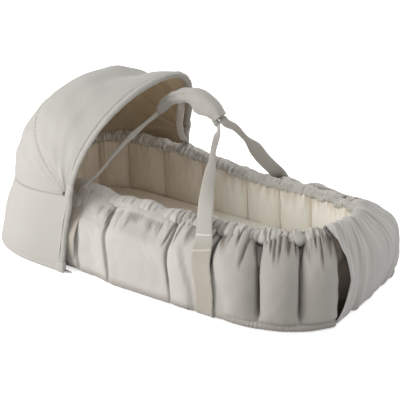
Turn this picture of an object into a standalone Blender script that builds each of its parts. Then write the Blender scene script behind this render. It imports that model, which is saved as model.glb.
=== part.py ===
# Soft carrycot (baby nest) with a folding hood, carry loops and a foot cover.
# Metres, +Z up, +X towards the foot end, -Y the near side. The origin is on the floor, below the centre.

import math

import bmesh
import bpy
import numpy as np

# Wall of the tub
BELLY_HALF_WIDTH = 0.2095
BELLY_FOOT_LENGTH = 0.3942
BELLY_HEAD_LENGTH = 0.386
STRAIGHT_FOOT_X = 0.158
STRAIGHT_HEAD_X = -0.202
SEAM_RADIUS = 0.195
END_INSET_SHARE = 0.65
CORNER_POWER_BASE = 2.6
CORNER_POWER_RIM = 2.1
FOOT_RISE = 0.09
FOOT_RISE_START_X = 0.08
# The far side sags between these stations from the foot tip, and again towards the hood
FAR_SAG = 0.10
FAR_SAG_STATIONS = (0.08, 0.22)
FAR_SAG_HOOD_X = (-0.120, 0.080)
CHANNEL_WEIGHTS = (7.5, 9.0, 7.2, 5.6, 8.8, 14.2, 7.5, 10.2, 11.2, 11.3, 4.8)
CHANNEL_COLUMNS = (0.0, 0.14, 0.5, 0.86)
SEAM_DEPTH = 0.010
COVER_THICKNESS = 0.0014
LINING_THICKNESS = 0.0012
SOFT_GAP = 0.0006
WALL_FOOT_Z = 0.0045
WALL_TOP_Z = 0.141
# Outer skin of the wall, from the base up: inset from the belly, and height
OUTER_PROFILE = (
    (0.016, WALL_FOOT_Z),
    (0.006, 0.018),
    (0.0, 0.052),
    (0.001, 0.080),
    (0.011, 0.104),
    (0.033, 0.126),
    (0.072, WALL_TOP_Z),
)
# Skin of the lining that faces the cavity
INNER_PROFILE = (
    (0.061, WALL_FOOT_Z + 0.004),
    (0.064, 0.040),
    (0.080, 0.090),
    (0.098, WALL_TOP_Z),
)

# Rim
RIM_INSET = 0.085
RIM_CASING_HALF_WIDTH = 0.0075
RIM_CASING_HALF_HEIGHT = 0.007
RIM_CASING_THICKNESS = 0.0015
RIM_SLIT = 0.002
RIM_ELASTIC_RADIUS = 0.003
RIM_COLUMNS = 56

# Base and mattress
BASE_PANEL_THICKNESS = 0.004
BASE_PANEL_OVERHANG = 0.002
BASE_BOARD_THICKNESS = 0.003
BASE_BOARD_MARGIN = 0.006
MATTRESS_THICKNESS = 0.030
MATTRESS_EDGE_GAP = 0.003
MATTRESS_ROUNDING = 0.008
OUTLINE_COLUMNS = 56
TOUCH_GAP = 0.0003

# Foot cover
FOOT_COVER_HALF_SPAN_BASE = 0.112
FOOT_COVER_HALF_SPAN_RIM = 0.098
FOOT_COVER_THICKNESS = 0.0016
FOOT_COVER_CLEARANCE = 0.0012
FOOT_COVER_COLUMNS = 12

# Webbing
WEB_WIDTH = 0.040
WEB_THICKNESS = 0.0016
WEB_GAP = 0.0006
NEAR_FOOT_STRAP_X = (0.168, 0.136)
NEAR_HEAD_STRAP_X = (-0.165, -0.150)
FAR_FOOT_STRAP_X = (0.140, 0.122)
FAR_HEAD_STRAP_X = (-0.140, -0.120)
STRAP_FOOT_Z = 0.008
BUNCHED_WIDTH = 0.014
BUNCHED_THICKNESS = 0.0036
LEG_STATIONS = 13
LEG_LEAD = 0.018
LEG_END_GAP = 0.0006
HUNG_LEG = "far_head"
HUNG_LEG_X = -0.036
HUNG_LEG_WIDTH = 0.024
# Points that each free leg hangs through, from the rim to the grip
LEG_MIDDLES = {
    "near_foot": ((0.105, -0.118, 0.200), (0.083, -0.066, 0.250)),
    "near_head": ((-0.139, -0.118, 0.196), (-0.112, -0.060, 0.234)),
    "far_foot": ((0.095, 0.098, 0.184), (0.074, 0.046, 0.244)),
    "far_head": ((-0.083, 0.085, 0.199), (-0.053, 0.036, 0.256)),
}

# Grip
GRIP_HEAD_X = -0.072
GRIP_FOOT_X = 0.055
GRIP_CREST_X = 0.004
GRIP_HEAD_Z = 0.283
GRIP_FOOT_Z = 0.295
GRIP_CREST_Z = 0.3234
GRIP_STRAP_OVERHANG = 0.004
FAR_RUN_HEAD_X = -0.066
# The near loop sinks in the wrap towards the foot end
NEAR_RUN_SINK = 0.013
NEAR_RUN_SINK_START_X = 0.026
GRIP_PAD_THICKNESS = 0.006
GRIP_HANG = 0.0125
GRIP_LEAF_DEPTH = 0.0115
GRIP_LEAF_X = (-0.004, 0.018, 0.036)
GRIP_COLUMNS = 12
SNAP_RADIUS = 0.005
SNAP_X = 0.014
SNAP_BELOW_STRAP = 0.0065

# Hood
PIVOT_X = -0.152
PIVOT_Z = 0.157
HOOD_FLOOR_MARGIN = 0.003
HOOD_PIVOT_INSET = 0.0125
HOOD_BACK_MARGIN = 0.011
HOOD_THICKNESS = 0.0016
HOOD_FLOOR_CLEARANCE = 0.0015
ARCH_POWER_FRONT = 2.18
ARCH_POWER_BACK = 2.6
FLOOR_POWER = 2.9
SKIRT_BULGE = 0.003
BOW_FOOT_X = -0.1657
BOW_TOP_Z = 0.333
BOW_TOP_LEAN = 0.0772
BOW_LEAN_POWER = 2.3
FRONT_SEAM_ANGLE = 4.0
REAR_SEAM_ANGLE = -50.0
SKIRT_SEAM_ANGLE = -98.0
# Radius of the hood's ribs about the pivot, against their angle from the vertical
RIB_RADII = ((-98.0, 0.2195), (-50.0, 0.1960), (-14.0, 0.1840), (4.0, 0.1815), (17.0, 0.1880))
GORE_COLUMNS = 23
GORE_ROWS = 4
SKIRT_ROWS = 4
RIB_START_HEIGHT = 0.024
CASING_HALF_WIDTH = 0.0075
CASING_HALF_THICKNESS = 0.0042
CASING_WALL = 0.0012
CASING_TILT = 32.0
CASING_START_HEIGHT = 0.030
CASING_SLIT = 0.0012
BOW_RADIUS = 0.0022
BOW_COLUMNS = 23
TAB_HALF_WIDTH = 0.006
TAB_THICKNESS = 0.002
TAB_NARROWS_FROM = 0.004
TAB_NARROWS_TO = 0.011
TAB_LENGTH = 0.020
TAB_PITCH = 0.0024
RIVET_RADIUS = 0.0018
RIVET_HEAD_RADIUS = 0.0042
RIVET_HEAD_THICKNESS = 0.0009
RIVET_CLEARANCE = 0.0003
STAY_HALF_WIDTH = 0.0045
SIDE_LEVELS = 7
POCKET_HEIGHT = 0.020
POCKET_WALL = 0.0015
PULL_TAB_LENGTH = 0.014
PULL_TAB_THICKNESS = 0.0016

# Room that the wall leaves for the hood
SLEEVE_CLEARANCE = 0.0004
HOOD_BACK_ROOM = 0.016
HOOD_TAPER_START_X = -0.040
HOOD_TAPER_END_X = -0.100
HOOD_BACK_START_X = -0.170
HOOD_BACK_END_X = -0.240
HOOD_ROOM_FULL_BELOW_Z = 0.118

# The hood stands a margin outside the tub on the floor and narrows to its pivots
HOOD_FLOOR_HALF_WIDTH = BELLY_HALF_WIDTH + HOOD_FLOOR_MARGIN
HOOD_HALF_WIDTH = BELLY_HALF_WIDTH - HOOD_PIVOT_INSET
HOOD_BACK_LENGTH = BELLY_HEAD_LENGTH + HOOD_BACK_MARGIN
QUARTER_ARC = SEAM_RADIUS * math.pi / 2
STRAIGHT_LENGTH = STRAIGHT_FOOT_X - STRAIGHT_HEAD_X
HALF_GIRTH = 2 * QUARTER_ARC + STRAIGHT_LENGTH
# Each strap's side, and its place along the tub at the base and at the rim
STRAPS = {
    "near_foot": (-1, NEAR_FOOT_STRAP_X),
    "near_head": (-1, NEAR_HEAD_STRAP_X),
    "far_foot": (1, FAR_FOOT_STRAP_X),
    "far_head": (1, FAR_HEAD_STRAP_X),
}
COLOURS = {
    "shell": ((0.66, 0.62, 0.56), 0.9, 0.0),
    "hood": ((0.68, 0.64, 0.58), 0.9, 0.0),
    "lining": ((0.78, 0.74, 0.64), 0.9, 0.0),
    "webbing": ((0.62, 0.57, 0.51), 0.85, 0.0),
    "wadding": ((0.90, 0.90, 0.88), 1.0, 0.0),
    "mattress": ((0.82, 0.79, 0.70), 0.9, 0.0),
    "board": ((0.55, 0.50, 0.42), 0.7, 0.0),
    "elastic": ((0.85, 0.84, 0.80), 0.7, 0.0),
    "bow": ((0.75, 0.75, 0.74), 0.4, 0.0),
    "metal": ((0.62, 0.62, 0.60), 0.35, 1.0),
}


def clear_scene():
    for item in list(bpy.data.objects):
        bpy.data.objects.remove(item, do_unlink=True)


def material(slot):
    found = bpy.data.materials.get(slot)
    if found:
        return found
    made = bpy.data.materials.new(slot)
    made.use_nodes = True
    shader = made.node_tree.nodes["Principled BSDF"]
    colour, roughness, metallic = COLOURS[slot]
    shader.inputs["Base Color"].default_value = (*colour, 1.0)
    shader.inputs["Roughness"].default_value = roughness
    shader.inputs["Metallic"].default_value = metallic
    return made


def skin(mesh, loops, closed):
    """Joins closed loops of points in order. A row that isn't closed gets a cap at each end."""
    rings = [[mesh.verts.new(point) for point in loop] for loop in loops]
    count = len(rings[0])
    pairs = list(zip(rings, rings[1:]))
    if closed:
        pairs.append((rings[-1], rings[0]))
    for low, high in pairs:
        for i in range(count):
            j = (i + 1) % count
            # Facing skins split their quads alike: from the lower corner of the first ring
            if low[i].co.z <= low[j].co.z:
                mesh.faces.new((low[i], low[j], high[j]))
                mesh.faces.new((low[i], high[j], high[i]))
            else:
                mesh.faces.new((low[i], low[j], high[i]))
                mesh.faces.new((low[j], high[j], high[i]))
    if not closed:
        mesh.faces.new(rings[0])
        mesh.faces.new(rings[-1])


def solid(name, slot, loops, closed=False, origin=(0.0, 0.0, 0.0)):
    """One object lofted through closed loops of points, with its origin at the given point."""
    mesh = bmesh.new()
    skin(mesh, loops, closed)
    bmesh.ops.recalc_face_normals(mesh, faces=mesh.faces[:])
    bmesh.ops.triangulate(mesh, faces=[f for f in mesh.faces if len(f.verts) > 4])
    bmesh.ops.translate(mesh, verts=mesh.verts[:], vec=[-c for c in origin])
    data = bpy.data.meshes.new(name)
    mesh.to_mesh(data)
    mesh.free()
    data.materials.append(material(slot))
    item = bpy.data.objects.new(name, data)
    item.location = origin
    bpy.context.scene.collection.objects.link(item)
    return item


def power(value, exponent):
    return math.copysign(abs(value) ** exponent, value)


def ramp(value, start, end):
    """0 before start, 1 after end, smooth between."""
    share = min(max((value - start) / (end - start), 0.0), 1.0)
    return share * share * (3 - 2 * share)


def station_of(side, x):
    """Distance along the base seam from the foot tip of a place on a straight side. Near is positive."""
    return -side * (QUARTER_ARC + STRAIGHT_FOOT_X - x)


def ring(inset, station):
    """Point of the tub's outline at an inset from the belly, in plan."""
    side = -1.0 if station >= 0 else 1.0
    along = abs(station)
    half = BELLY_HALF_WIDTH - inset
    share = min(inset / RIM_INSET, 1.0)
    corner = 2 / (CORNER_POWER_BASE + share * (CORNER_POWER_RIM - CORNER_POWER_BASE))
    if along < QUARTER_ARC:
        turn = along / SEAM_RADIUS
        reach = BELLY_FOOT_LENGTH - END_INSET_SHARE * inset
        x = STRAIGHT_FOOT_X + (reach - STRAIGHT_FOOT_X) * power(math.cos(turn), corner)
        return x, side * half * power(math.sin(turn), corner)
    if along < QUARTER_ARC + STRAIGHT_LENGTH:
        return STRAIGHT_FOOT_X + QUARTER_ARC - along, side * half
    turn = (along - QUARTER_ARC - STRAIGHT_LENGTH) / SEAM_RADIUS
    reach = BELLY_HEAD_LENGTH - END_INSET_SHARE * inset
    x = STRAIGHT_HEAD_X - (reach + STRAIGHT_HEAD_X) * power(math.sin(turn), corner)
    return x, side * half * power(max(math.cos(turn), 0.0), corner)


def wrap(station):
    if station > HALF_GIRTH:
        return station - 2 * HALF_GIRTH
    if station <= -HALF_GIRTH:
        return station + 2 * HALF_GIRTH
    return station


def outward(inset, station):
    """Unit normal of the outline in plan, pointing out of the tub."""
    step = 0.002
    ax, ay = ring(inset, wrap(station - step))
    bx, by = ring(inset, wrap(station + step))
    span = math.hypot(bx - ax, by - ay)
    return -(by - ay) / span, (bx - ax) / span


def rise(station):
    """The rim climbs a little towards the foot end, and the far side sags."""
    x = ring(0.0, station)[0]
    sag = FAR_SAG * ramp(-station, *FAR_SAG_STATIONS) * ramp(x, *FAR_SAG_HOOD_X)
    return 1.0 + FOOT_RISE * ramp(x, FOOT_RISE_START_X, BELLY_FOOT_LENGTH) - sag


def place(inset, station, out, z):
    """A point at an inset from the belly, moved out along the normal, at a height."""
    x, y = ring(inset, station)
    nx, ny = outward(inset, station)
    return x + out * nx, y + out * ny, z * rise(station)


def seam_stations():
    """Channel seams from the foot tip round the near side to the head, then back round the far side."""
    total = sum(CHANNEL_WEIGHTS)
    near = []
    along = 0.0
    for weight in CHANNEL_WEIGHTS[:-1]:
        along += weight
        near.append(along / total * HALF_GIRTH)
    return near + [-s for s in reversed(near)]


def channel_spans():
    seams = seam_stations()
    spans = []
    for start, end in zip(seams, seams[1:] + seams[:1]):
        spans.append((start, end if end > start else end + 2 * HALF_GIRTH))
    return spans


def columns_of(span):
    """Stations of the mesh columns in one channel, from seam to seam."""
    start, end = span
    return [start + share * (end - start) for share in CHANNEL_COLUMNS] + [end]


def scallop(share):
    """How far a channel's skin is pulled in, from 1 at a seam to 0 at its middle."""
    return abs(2 * share - 1) ** 3


def side_room():
    """How far a straight side stands back, so that a wall strap just clears the hood's sleeve."""
    rooms = []
    for (inset, z), (out, _) in zip(OUTER_PROFILE[:-2], OUTER_NORMALS[:-2]):
        strap_face = BELLY_HALF_WIDTH - inset + (WEB_GAP + WEB_THICKNESS) * out
        sleeve_face = stay_point(1, z)[1] - CASING_HALF_THICKNESS
        rooms.append(strap_face - sleeve_face)
    return max(rooms) + SLEEVE_CLEARANCE


def hood_room(station, z):
    """How far the outer skin stands back, under the hood."""
    x = ring(0.0, station)[0]
    side = ramp(-x, -HOOD_TAPER_START_X, -HOOD_TAPER_END_X)
    back = ramp(-x, -HOOD_BACK_START_X, -HOOD_BACK_END_X)
    fade = min(max((WALL_TOP_Z - z) / (WALL_TOP_Z - HOOD_ROOM_FULL_BELOW_Z), 0.0), 1.0)
    room = side_room()
    return (room * side + (HOOD_BACK_ROOM - room) * back) * fade


def profile_normals(profile, sense):
    """Normals of a profile given as inset and height, as outward and upward parts."""
    points = [np.array((-inset, z)) for inset, z in profile]
    normals = []
    for i in range(len(points)):
        before = points[max(i - 1, 0)]
        after = points[min(i + 1, len(points) - 1)]
        along = (after - before) / np.linalg.norm(after - before)
        normals.append((sense * along[1], -sense * along[0]))
    return normals


OUTER_NORMALS = profile_normals(OUTER_PROFILE, 1.0)
INNER_NORMALS = profile_normals(INNER_PROFILE, -1.0)


def outer_skin(station, share, depth):
    """Points of the wall's outer skin at one station, from the base up, at a depth below the surface."""
    points = []
    pull = SEAM_DEPTH * scallop(share)
    for (inset, z), (out, up) in zip(OUTER_PROFILE, OUTER_NORMALS):
        sunk = hood_room(station, z)
        if WALL_FOOT_Z < z < WALL_TOP_Z:
            sunk += pull
        points.append(place(inset, station, -sunk - depth * out, z - depth * up))
    return points


def inner_skin(station, depth):
    """Points of the lining's face, from the top down, at a depth into the wall."""
    points = []
    for (inset, z), (out, up) in zip(INNER_PROFILE, INNER_NORMALS):
        points.append(place(inset, station, -depth * out, z - depth * up))
    return points[::-1]


def wall_columns():
    """Every column of the wall once, as its station and its share of its channel."""
    columns = []
    for start, end in channel_spans():
        for station in columns_of((start, end))[:-1]:
            columns.append((wrap(station), (station - start) / (end - start)))
    return columns


def outer_cover():
    loops = []
    for station, share in wall_columns():
        face = outer_skin(station, share, 0.0)
        back = outer_skin(station, share, COVER_THICKNESS)
        loops.append(face + back[::-1])
    solid("outer_cover", "shell", loops, closed=True)


def inner_lining():
    loops = []
    for station, _ in wall_columns():
        face = inner_skin(station, 0.0)
        back = inner_skin(station, LINING_THICKNESS)
        loops.append(face + back[::-1])
    solid("inner_lining", "lining", loops, closed=True)


def side_bolsters():
    outer_depth = COVER_THICKNESS + SOFT_GAP
    inner_depth = LINING_THICKNESS + SOFT_GAP
    for number, (start, end) in enumerate(channel_spans(), 1):
        columns = columns_of((start, end))
        loops = []
        for index, station in enumerate(columns):
            share = (station - start) / (end - start)
            nudge = SOFT_GAP if index == 0 else 0.0
            if index == len(columns) - 1:
                nudge = -SOFT_GAP
            at = wrap(station + nudge)
            loops.append(outer_skin(at, share, outer_depth) + inner_skin(at, inner_depth))
        solid(f"side_bolster_{number:02d}", "wadding", loops)


def around(count):
    return [wrap(HALF_GIRTH * (2 * i / count - 1)) for i in range(count)]


def rim_section(out, up, station):
    return place(RIM_INSET, station, out, rim_centre_z() + up)


def rim_centre_z():
    return WALL_TOP_Z + SOFT_GAP + RIM_CASING_HALF_HEIGHT


def slit_tube(half_width, half_height, wall, slit, corners=8):
    """Section of a folded tunnel: an oval band that stays open at its lowest point."""
    opening = math.asin(min(slit / half_width, 0.9))
    outer = []
    inner = []
    for i in range(corners + 1):
        angle = -math.pi / 2 + opening + (2 * math.pi - 2 * opening) * i / corners
        outer.append((half_width * math.cos(angle), half_height * math.sin(angle)))
        inner.append(((half_width - wall) * math.cos(angle), (half_height - wall) * math.sin(angle)))
    return outer + inner[::-1]


def rim():
    section = slit_tube(RIM_CASING_HALF_WIDTH, RIM_CASING_HALF_HEIGHT, RIM_CASING_THICKNESS, RIM_SLIT)
    loops = [[rim_section(out, up, s) for out, up in section] for s in around(RIM_COLUMNS)]
    solid("rim_casing", "shell", loops, closed=True)
    drop = RIM_CASING_HALF_HEIGHT - RIM_CASING_THICKNESS - RIM_ELASTIC_RADIUS - TOUCH_GAP
    cord = circle(RIM_ELASTIC_RADIUS, 6)
    loops = [[rim_section(out, up - drop, s) for out, up in cord] for s in around(RIM_COLUMNS)]
    solid("rim_elastic", "elastic", loops, closed=True)


def circle(radius, corners, turn=0.0):
    steps = [turn + 2 * math.pi * i / corners for i in range(corners)]
    return [(radius * math.cos(a), radius * math.sin(a)) for a in steps]


def slab(name, slot, inset, levels):
    """A flat piece with the tub's outline. Levels are its inset and height, from the bottom up."""
    loops = []
    for extra, z in levels:
        loops.append([(*ring(inset + extra, s), z) for s in around(OUTLINE_COLUMNS)])
    solid(name, slot, loops)


def base():
    panel_inset = OUTER_PROFILE[0][0] + HOOD_BACK_ROOM - BASE_PANEL_OVERHANG
    slab("base_panel", "shell", panel_inset, ((0.0, 0.0), (0.0, BASE_PANEL_THICKNESS)))
    floor_inset = INNER_PROFILE[0][0]
    low = BASE_PANEL_THICKNESS + TOUCH_GAP
    high = low + BASE_BOARD_THICKNESS
    slab("base_board", "board", floor_inset + BASE_BOARD_MARGIN, ((0.0, low), (0.0, high)))
    low = high + TOUCH_GAP
    high = low + MATTRESS_THICKNESS
    rounding = MATTRESS_ROUNDING
    levels = ((rounding, low), (0.0, low + rounding), (0.0, high - rounding), (rounding, high))
    slab("mattress", "mattress", INNER_PROFILE[1][0] + MATTRESS_EDGE_GAP, levels)


def foot_cover_path(depth):
    """The cover's path as inset, outward, height and share of the way to the rim."""
    path = []
    lift = FOOT_COVER_CLEARANCE + FOOT_COVER_THICKNESS - depth
    for (inset, z), (out, up) in zip(OUTER_PROFILE[:-1], OUTER_NORMALS[:-1]):
        path.append((inset, lift * out, z + lift * up, z / WALL_TOP_Z))
    across = RIM_CASING_HALF_WIDTH + lift
    over = RIM_CASING_HALF_HEIGHT + lift
    centre = rim_centre_z()
    path.append((RIM_INSET, across, centre, 1.0))
    path.append((RIM_INSET, 0.7 * across, centre + 0.75 * over, 1.0))
    path.append((RIM_INSET, 0.0, centre + over, 1.0))
    path.append((RIM_INSET, -0.7 * across, centre + 0.75 * over, 1.0))
    path.append((RIM_INSET, -across, centre, 1.0))
    return path


def foot_cover():
    loops = []
    for i in range(FOOT_COVER_COLUMNS + 1):
        side = 2 * i / FOOT_COVER_COLUMNS - 1
        loop = []
        for depth, sense in ((0.0, 1), (FOOT_COVER_THICKNESS, -1)):
            face = []
            for inset, out, z, share in foot_cover_path(depth):
                span = FOOT_COVER_HALF_SPAN_BASE
                span += share * (FOOT_COVER_HALF_SPAN_RIM - FOOT_COVER_HALF_SPAN_BASE)
                face.append(place(inset, side * span, out, z))
            loop += face[::sense]
        loops.append(loop)
    solid("foot_cover", "shell", loops)


def cross(a, b):
    return np.cross(a, b)


def unit(vector):
    return vector / np.linalg.norm(vector)


def strip(centres, widths, thicknesses, directions, first=None, last=None):
    """Loops of a flat band along its centres. Directions give its width's direction at each centre.

    First and last give the way the band runs at its ends, where another piece joins on squarely.
    """
    loops = []
    count = len(centres)
    for i, centre in enumerate(centres):
        along = unit(centres[min(i + 1, count - 1)] - centres[max(i - 1, 0)])
        if i == 0 and first is not None:
            along = first
        if i == count - 1 and last is not None:
            along = last
        across = unit(directions[i] - np.dot(directions[i], along) * along)
        up = unit(cross(along, across))
        half = across * widths[i] / 2
        deep = up * thicknesses[i] / 2
        near = [centre - half - deep, centre + half - deep]
        loops.append(near + [centre + half + deep, centre - half + deep])
    return loops


def strap_wall_path(side, x_at):
    """Centres of a wall strap from the base up, on the fullest part of the wall."""
    lift = WEB_GAP + WEB_THICKNESS / 2
    path = []
    for (inset, z), (out, up) in zip(OUTER_PROFILE[:-1], OUTER_NORMALS[:-1]):
        station = station_of(side, x_at[0] + (x_at[1] - x_at[0]) * z / WALL_TOP_Z)
        sunk = hood_room(station, z)
        path.append(np.array(place(inset, station, lift * out - sunk, z + lift * up)))
    share = (STRAP_FOOT_Z - path[0][2]) / (path[1][2] - path[0][2])
    path[0] += share * (path[1] - path[0])
    return path


def wall_straps():
    for name, (side, x_at) in STRAPS.items():
        path = strap_wall_path(side, x_at)
        count = len(path)
        across = [np.array((1.0, 0.0, 0.0))] * count
        loops = strip(path, [WEB_WIDTH] * count, [WEB_THICKNESS] * count, across)
        solid(f"{name}_wall_strap", "webbing", loops)


def grip_z(x):
    """Height of the middle of the grip's wrap along it."""
    reach = GRIP_CREST_X - GRIP_HEAD_X if x < GRIP_CREST_X else GRIP_FOOT_X - GRIP_CREST_X
    fall = GRIP_CREST_Z - (GRIP_HEAD_Z if x < GRIP_CREST_X else GRIP_FOOT_Z)
    return GRIP_CREST_Z - fall * ((x - GRIP_CREST_X) / reach) ** 2


def grip_slope(x):
    """Unit vector along the grip, towards the foot end."""
    step = 0.0005
    return unit(np.array((2 * step, 0.0, grip_z(x + step) - grip_z(x - step))))


def grip_point(x, y, height):
    """A point at a height square to the grip's middle line."""
    along = grip_slope(x)
    return np.array((x - height * along[2], y, grip_z(x) + height * along[0]))


def top_run_y(side):
    return side * (BUNCHED_THICKNESS / 2 + TOUCH_GAP)


def run_end_x(side, end):
    if end > 0:
        return GRIP_FOOT_X + GRIP_STRAP_OVERHANG
    return GRIP_HEAD_X - GRIP_STRAP_OVERHANG if side < 0 else FAR_RUN_HEAD_X


def run_point(side, x):
    """Point in the middle of a loop's webbing inside the grip."""
    sink = NEAR_RUN_SINK * ramp(x, NEAR_RUN_SINK_START_X, run_end_x(side, 1)) if side < 0 else 0.0
    return grip_point(x, top_run_y(side), -sink)


def run_way(side, end):
    """The way a loop's webbing runs where it leaves the grip."""
    x = run_end_x(side, end)
    return unit(run_point(side, x) - run_point(side, x - end * 0.002))


def top_runs():
    for name, side in (("near", -1), ("far", 1)):
        xs = np.linspace(run_end_x(side, -1), run_end_x(side, 1), GRIP_COLUMNS)
        centres = [run_point(side, x) for x in xs]
        upright = [np.array((0.0, 0.0, 1.0))] * GRIP_COLUMNS
        widths = [BUNCHED_WIDTH] * GRIP_COLUMNS
        depths = [BUNCHED_THICKNESS] * GRIP_COLUMNS
        loops = strip(centres, widths, depths, upright, -run_way(side, -1), run_way(side, 1))
        solid(f"{name}_top_strap", "webbing", loops)


def under_run_z(x):
    """Height just below the webbing in the grip."""
    return grip_z(x) - BUNCHED_WIDTH / 2 / grip_slope(x)[0] - LEG_END_GAP


def smooth_path(points, count):
    """A smooth curve through the points, in equal steps of its parameter."""
    points = [np.array(p, float) for p in points]
    ends = [2 * points[0] - points[1]] + points + [2 * points[-1] - points[-2]]
    path = []
    for i in range(count):
        place_on = i / (count - 1) * (len(points) - 1)
        k = min(int(place_on), len(points) - 2)
        t = place_on - k
        a, b, c, d = ends[k:k + 4]
        bend = (2 * a - 5 * b + 4 * c - d) * t ** 2 + (3 * b - a - 3 * c + d) * t ** 3
        path.append(0.5 * (2 * b + (c - a) * t + bend))
    return path


def leg_end(name, side):
    """Where a leg meets the webbing in the grip, and the way it runs there, away from the grip."""
    if name == HUNG_LEG:
        down = np.array((0.0, 0.0, -1.0))
        return np.array((HUNG_LEG_X, top_run_y(side), under_run_z(HUNG_LEG_X))), down
    end = 1 if name.endswith("foot") else -1
    away = run_way(side, end)
    return run_point(side, run_end_x(side, end)) + away * LEG_END_GAP, away


def strap_legs():
    for name, (side, x_at) in STRAPS.items():
        wall = strap_wall_path(side, x_at)
        up_the_wall = unit(wall[-1] - wall[-2])
        start = wall[-1] + up_the_wall * LEG_END_GAP
        over_rim = wall[-1] + up_the_wall * LEG_LEAD
        finish, away = leg_end(name, side)
        leaving = finish + away * LEG_LEAD
        leaving[1] += side * BUNCHED_THICKNESS
        middle = [np.array(point) for point in LEG_MIDDLES[name]]
        path = smooth_path([start, over_rim] + middle + [leaving, finish], LEG_STATIONS)
        shares = [i / (LEG_STATIONS - 1) for i in range(LEG_STATIONS)]
        narrow = HUNG_LEG_WIDTH if name == HUNG_LEG else BUNCHED_WIDTH
        widths = [WEB_WIDTH + (narrow - WEB_WIDTH) * ramp(s, 0.25, 0.85) for s in shares]
        depths = [WEB_THICKNESS + (BUNCHED_THICKNESS - WEB_THICKNESS) * ramp(s, 0.5, 1.0) for s in shares]
        flat = np.array((1.0, 0.0, 0.0))
        upright = flat if name == HUNG_LEG else np.array((0.0, 0.0, 1.0))
        turns = [flat + ramp(s, 0.35, 0.85) * (upright - flat) for s in shares]
        loops = strip(path, widths, depths, turns, up_the_wall, -away)
        if name == HUNG_LEG:
            for point in loops[-1]:
                point[2] = under_run_z(point[0])
        for loop in loops:
            nearest = min(side * point[1] for point in loop)
            if nearest < TOUCH_GAP:
                for point in loop:
                    point[1] += side * (TOUCH_GAP - nearest)
        solid(f"{name}_strap_leg", "webbing", loops)


def grip_hang(x):
    """How far the wrap hangs below its middle: its flap is leaf-shaped, deepest near the foot end."""
    start, full, narrows = GRIP_LEAF_X
    return GRIP_HANG + GRIP_LEAF_DEPTH * (ramp(x, start, full) - ramp(x, narrows, GRIP_FOOT_X))


def grip():
    inner_y = 2 * TOUCH_GAP + BUNCHED_THICKNESS + SOFT_GAP
    outer_y = inner_y + GRIP_PAD_THICKNESS
    top_low = BUNCHED_WIDTH / 2 + SOFT_GAP
    top_high = top_low + GRIP_PAD_THICKNESS
    rounding = GRIP_PAD_THICKNESS / 3
    xs = np.linspace(GRIP_HEAD_X, GRIP_FOOT_X, GRIP_COLUMNS)
    pad = []
    flap = []
    for x in xs:
        low = -grip_hang(x)
        outline = (
            (-outer_y + rounding, top_high), (outer_y - rounding, top_high),
            (outer_y, top_high - rounding), (outer_y, low + rounding), (outer_y - rounding, low),
            (inner_y + rounding, low), (inner_y, low + rounding), (inner_y, top_low),
            (-outer_y, top_low), (-outer_y, top_high - rounding),
        )
        pad.append([grip_point(x, y, height) for y, height in outline])
        under = top_low - SOFT_GAP
        outline = (
            (-inner_y, under), (-outer_y, under), (-outer_y, low + rounding), (-outer_y + rounding, low),
            (-inner_y - rounding, low), (-inner_y, low + rounding),
        )
        flap.append([grip_point(x, y, height) for y, height in outline])
    solid("grip_pad", "shell", pad)
    hinge = (0.0, -outer_y, GRIP_CREST_Z + top_low)
    solid("grip_flap", "shell", flap, origin=hinge)
    snap(inner_y, hinge)


def disc(x, z, y_from, y_to, radius, corners=12):
    """Loops of a round plate whose axis runs along Y."""
    rim_points = circle(radius, corners)
    return [[(x + a, y, z + b) for a, b in rim_points] for y in (y_from, y_to)]


def snap(inner_y, hinge):
    x, _, z = grip_point(SNAP_X, 0.0, -BUNCHED_WIDTH / 2 - SNAP_BELOW_STRAP)
    face = inner_y - TOUCH_GAP
    socket = disc(x, z, -face, -TOUCH_GAP / 2, SNAP_RADIUS)
    stud = disc(x, z, face, TOUCH_GAP / 2, SNAP_RADIUS)
    solid("grip_snap_socket", "metal", socket, origin=hinge)
    solid("grip_snap_stud", "metal", stud)


def rib_radius(angle):
    """Distance of the hood's skin from the pivot line, against the angle from the vertical."""
    angles = [pair[0] for pair in RIB_RADII]
    radii = [pair[1] for pair in RIB_RADII]
    return float(np.interp(angle, angles, radii))


def arch(t, angle):
    """Share of the half width and of the height along a rib. Ribs grow squarer towards the back."""
    back = (FRONT_SEAM_ANGLE - angle) / (FRONT_SEAM_ANGLE - SKIRT_SEAM_ANGLE)
    corner = 2 / (ARCH_POWER_FRONT + back * (ARCH_POWER_BACK - ARCH_POWER_FRONT))
    return -power(math.cos(t), corner), math.sin(t) ** corner


def rib(angle, t, inward=0.0, shift=0.0):
    """Point of a rib at an angle from the vertical, at a depth inside the skin."""
    across, height = arch(t, angle)
    a = math.radians(angle)
    h = (rib_radius(angle) - inward) * height
    x = PIVOT_X + h * math.sin(a) + shift * math.cos(a)
    z = PIVOT_Z + h * math.cos(a) - shift * math.sin(a)
    return x, (HOOD_HALF_WIDTH - inward) * across, z


def bow_x(z):
    """The front bow leans forward more and more towards its top."""
    return BOW_FOOT_X + BOW_TOP_LEAN * (z / BOW_TOP_Z) ** BOW_LEAN_POWER


def front_rib(t, inward=0.0, shift=0.0):
    """Point of the hood's front edge, above the pivot."""
    across, height = arch(t, FRONT_SEAM_ANGLE)
    top = BOW_TOP_Z + CASING_HALF_THICKNESS - inward
    z = PIVOT_Z + (top - PIVOT_Z) * height
    return bow_x(z) + shift, (HOOD_HALF_WIDTH - inward) * across, z


def arch_steps(count, free=RIB_START_HEIGHT):
    """Steps of the arch parameter that leave the pivots free."""
    share = free / rib_radius(REAR_SEAM_ANGLE)
    start = math.asin(share ** (ARCH_POWER_FRONT / 2))
    return np.linspace(start, math.pi - start, count)


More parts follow.
